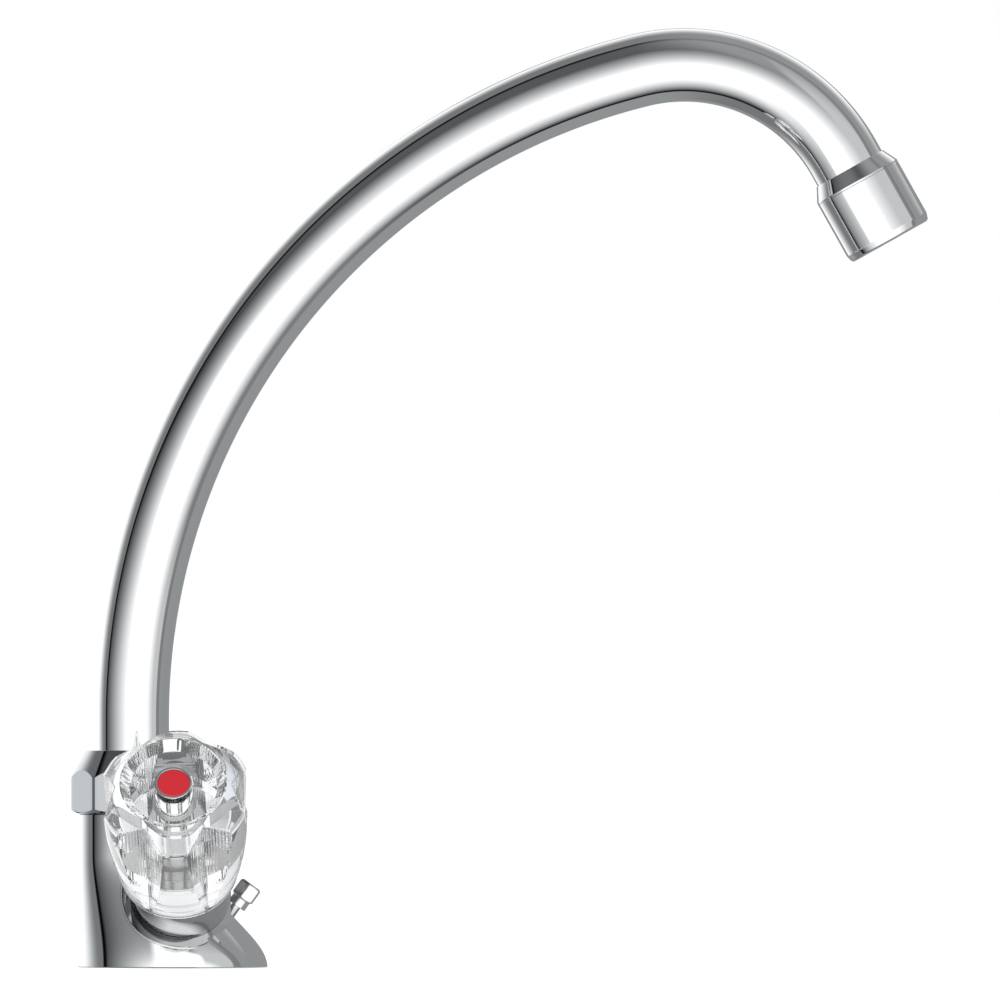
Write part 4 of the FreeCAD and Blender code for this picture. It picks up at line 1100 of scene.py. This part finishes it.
class TAP_OT_studio(TapOperator):
    """Set up the floor, the room, the lamp and the camera"""
    bl_idname = "tap.studio"
    bl_label = "Studio"

    def execute(self, context):
        scene = context.scene
        scene.view_settings.view_transform = "Standard"
        self.room(scene)
        self.floor(scene)
        self.card("grey_card", (0.03, 1.0), 0.3, (0.0, 0.38), 0.3, 0.002)
        self.card("white_card", (-0.17, 0.33), -0.35, (0.03, 0.31), 1.2, 0.08)
        self.lamp(scene)
        self.camera(scene)
        return {"FINISHED"}

    def room(self, scene):
        """World: white to the camera and through clear pieces, the studio in reflections."""
        world = bpy.data.worlds.new("studio")
        scene.world = world
        finish = Finish(world)
        grey, x, y, z = studio_world(finish)
        camera, glossy, through = finish.outputs(
            ("Is Camera Ray", "Is Glossy Ray", "Is Transmission Ray"), "LightPath")
        cool = finish.blend(grey, (0.93, 0.97, 1.0, 1.0), WHITE)
        reflected = finish.add("Background", inputs={"Color": cool, "Strength": grey * 1.1})
        backdrop = y.step(-0.3, 0.2) * (1.0 - z.step(0.35, 0.6) * 0.85)
        bright = (grey + (1.0 - grey) * backdrop).most(x.step(0.05, 0.6) * 0.9)
        plain, beyond, white = (
            finish.add("Background", inputs={"Color": WHITE, "Strength": strength})
            for strength in (0.72, 0.3 + 0.75 * bright, 1.0))
        mixed = plain
        for share, seen in ((glossy, reflected), (through, beyond), (camera, white)):
            mixed = finish.add("MixShader", inputs={0: share, 1: mixed, 2: seen})
        finish.surface(mixed, "World")

    def floor(self, scene):
        """A wide pale floor that shows white to the camera and keeps the tap's shadow."""
        half = 30.0
        finish = new_finish("pale_floor")
        camera = finish.add("LightPath", output="Is Camera Ray")
        matte = finish.add("BsdfDiffuse", inputs={"Color": shade(scene.tap_colours.floor)})
        lift = finish.add("Emission", inputs={"Color": WHITE, "Strength": camera * 0.5})
        shader = finish.add("AddShader", inputs={0: matte, 1: lift})
        item = self.plane("studio_floor", [(-half, -half, 0.0), (half, -half, 0.0),
                                           (half, half, 0.0), (-half, half, 0.0)],
                          finish.surface(shader), ("glossy", "transmission"))
        item.location.z = -0.05 * MM

    def card(self, name, x_range, y, z_range, strength, fade):
        """An upright card near the tap, seen only in its gloss, with edges that fade out."""
        corners = [(x_range[i], y, z_range[j]) for i, j in ((0, 0), (1, 0), (1, 1), (0, 1))]
        finish = new_finish(name)
        x, z = finish.outputs("XZ", "SeparateXYZ", {"Vector": finish.place()})
        solid = (x.step(x_range[0], x_range[0] + fade) * x.step(x_range[1], x_range[1] - fade)
                 * z.step(z_range[1], z_range[1] - fade))
        glow = finish.add("Emission", inputs={"Color": (0.95, 0.98, 1.0, 1.0), "Strength": strength})
        clear = finish.add("BsdfTransparent")
        shader = finish.add("MixShader", inputs={0: solid, 1: clear, 2: glow})
        self.plane(name, corners, finish.surface(shader),
                   ("camera", "diffuse", "transmission", "shadow"))

    def plane(self, name, corners, material, hidden_from):
        """A flat piece of the stage, hidden from some kinds of rays."""
        item = mesh_object(name, np.array(corners), np.array([[0, 1, 2, 3]]))
        item.data.materials.append(material)
        for rays in hidden_from:
            setattr(item, "visible_" + rays, False)
        return item

    def lamp(self, scene):
        """One large soft lamp, high on the left in front, for the matte pieces and the shadow."""
        light = bpy.data.lights.new("soft_key", "AREA")
        light.shape = "DISK"
        light.size = 1.6
        light.energy = 38.0
        item = bpy.data.objects.new("soft_key", light)
        item.location = (-0.9, -1.9, 2.3)
        aim = Vector((0.08, 0.0, 0.1)) - item.location
        item.rotation_euler = aim.to_track_quat("-Z", "Y").to_euler()
        item.visible_glossy = False
        item.visible_transmission = False
        scene.collection.objects.link(item)

    def camera(self, scene):
        """A long lens from the front, level with the middle of the picture."""
        distance, view_width, middle, level = 12.0, 0.29976, 0.0982, 0.140
        lens = bpy.data.cameras.new("photo_camera")
        lens.sensor_width = 36.0
        lens.lens = lens.sensor_width * distance / view_width
        lens.clip_end = 100.0
        item = bpy.data.objects.new("photo_camera", lens)
        item.location = (middle, -distance, level)
        item.rotation_euler = (math.radians(90.0), 0.0, 0.0)
        scene.collection.objects.link(item)
        scene.camera = item


OPERATORS = (TAP_OT_body, TAP_OT_union_nut, TAP_OT_sleeves, TAP_OT_spout, TAP_OT_outlet,
             TAP_OT_chain_stay, TAP_OT_valves, TAP_OT_handles, TAP_OT_other_parts, TAP_OT_studio)
GROUPS = {"tap_spout": TapSpoutSizes, "tap_body": TapBodySizes, "tap_handle": TapHandleSizes,
          "tap_colours": TapColours}


class TAP_PT_panel(bpy.types.Panel):
    """The tap's pieces and sizes in the sidebar"""
    bl_idname = "TAP_PT_panel"
    bl_label = "Mixer Tap"
    bl_space_type = "VIEW_3D"
    bl_region_type = "UI"
    bl_category = "Mixer Tap"

    def draw(self, context):
        for operator in OPERATORS:
            self.layout.operator(operator.bl_idname)
        for name, group in GROUPS.items():
            box = self.layout.box()
            for item in group.__annotations__:
                box.prop(getattr(context.scene, name), item)


def register():
    for item in (*GROUPS.values(), *OPERATORS, TAP_PT_panel):
        bpy.utils.register_class(item)
    for name, group in GROUPS.items():
        setattr(bpy.types.Scene, name, PointerProperty(type=group))


def unregister():
    for name in GROUPS:
        delattr(bpy.types.Scene, name)
    for item in reversed((*GROUPS.values(), *OPERATORS, TAP_PT_panel)):
        bpy.utils.unregister_class(item)


def main():
    register()
    bpy.ops.tap.body()
    bpy.ops.tap.union_nut()
    bpy.ops.tap.sleeves()
    bpy.ops.tap.spout()
    bpy.ops.tap.outlet()
    bpy.ops.tap.chain_stay()
    bpy.ops.tap.valves()
    bpy.ops.tap.handles()
    bpy.ops.tap.other_parts()
    bpy.ops.tap.studio()


if __name__ == "__main__":
    main()
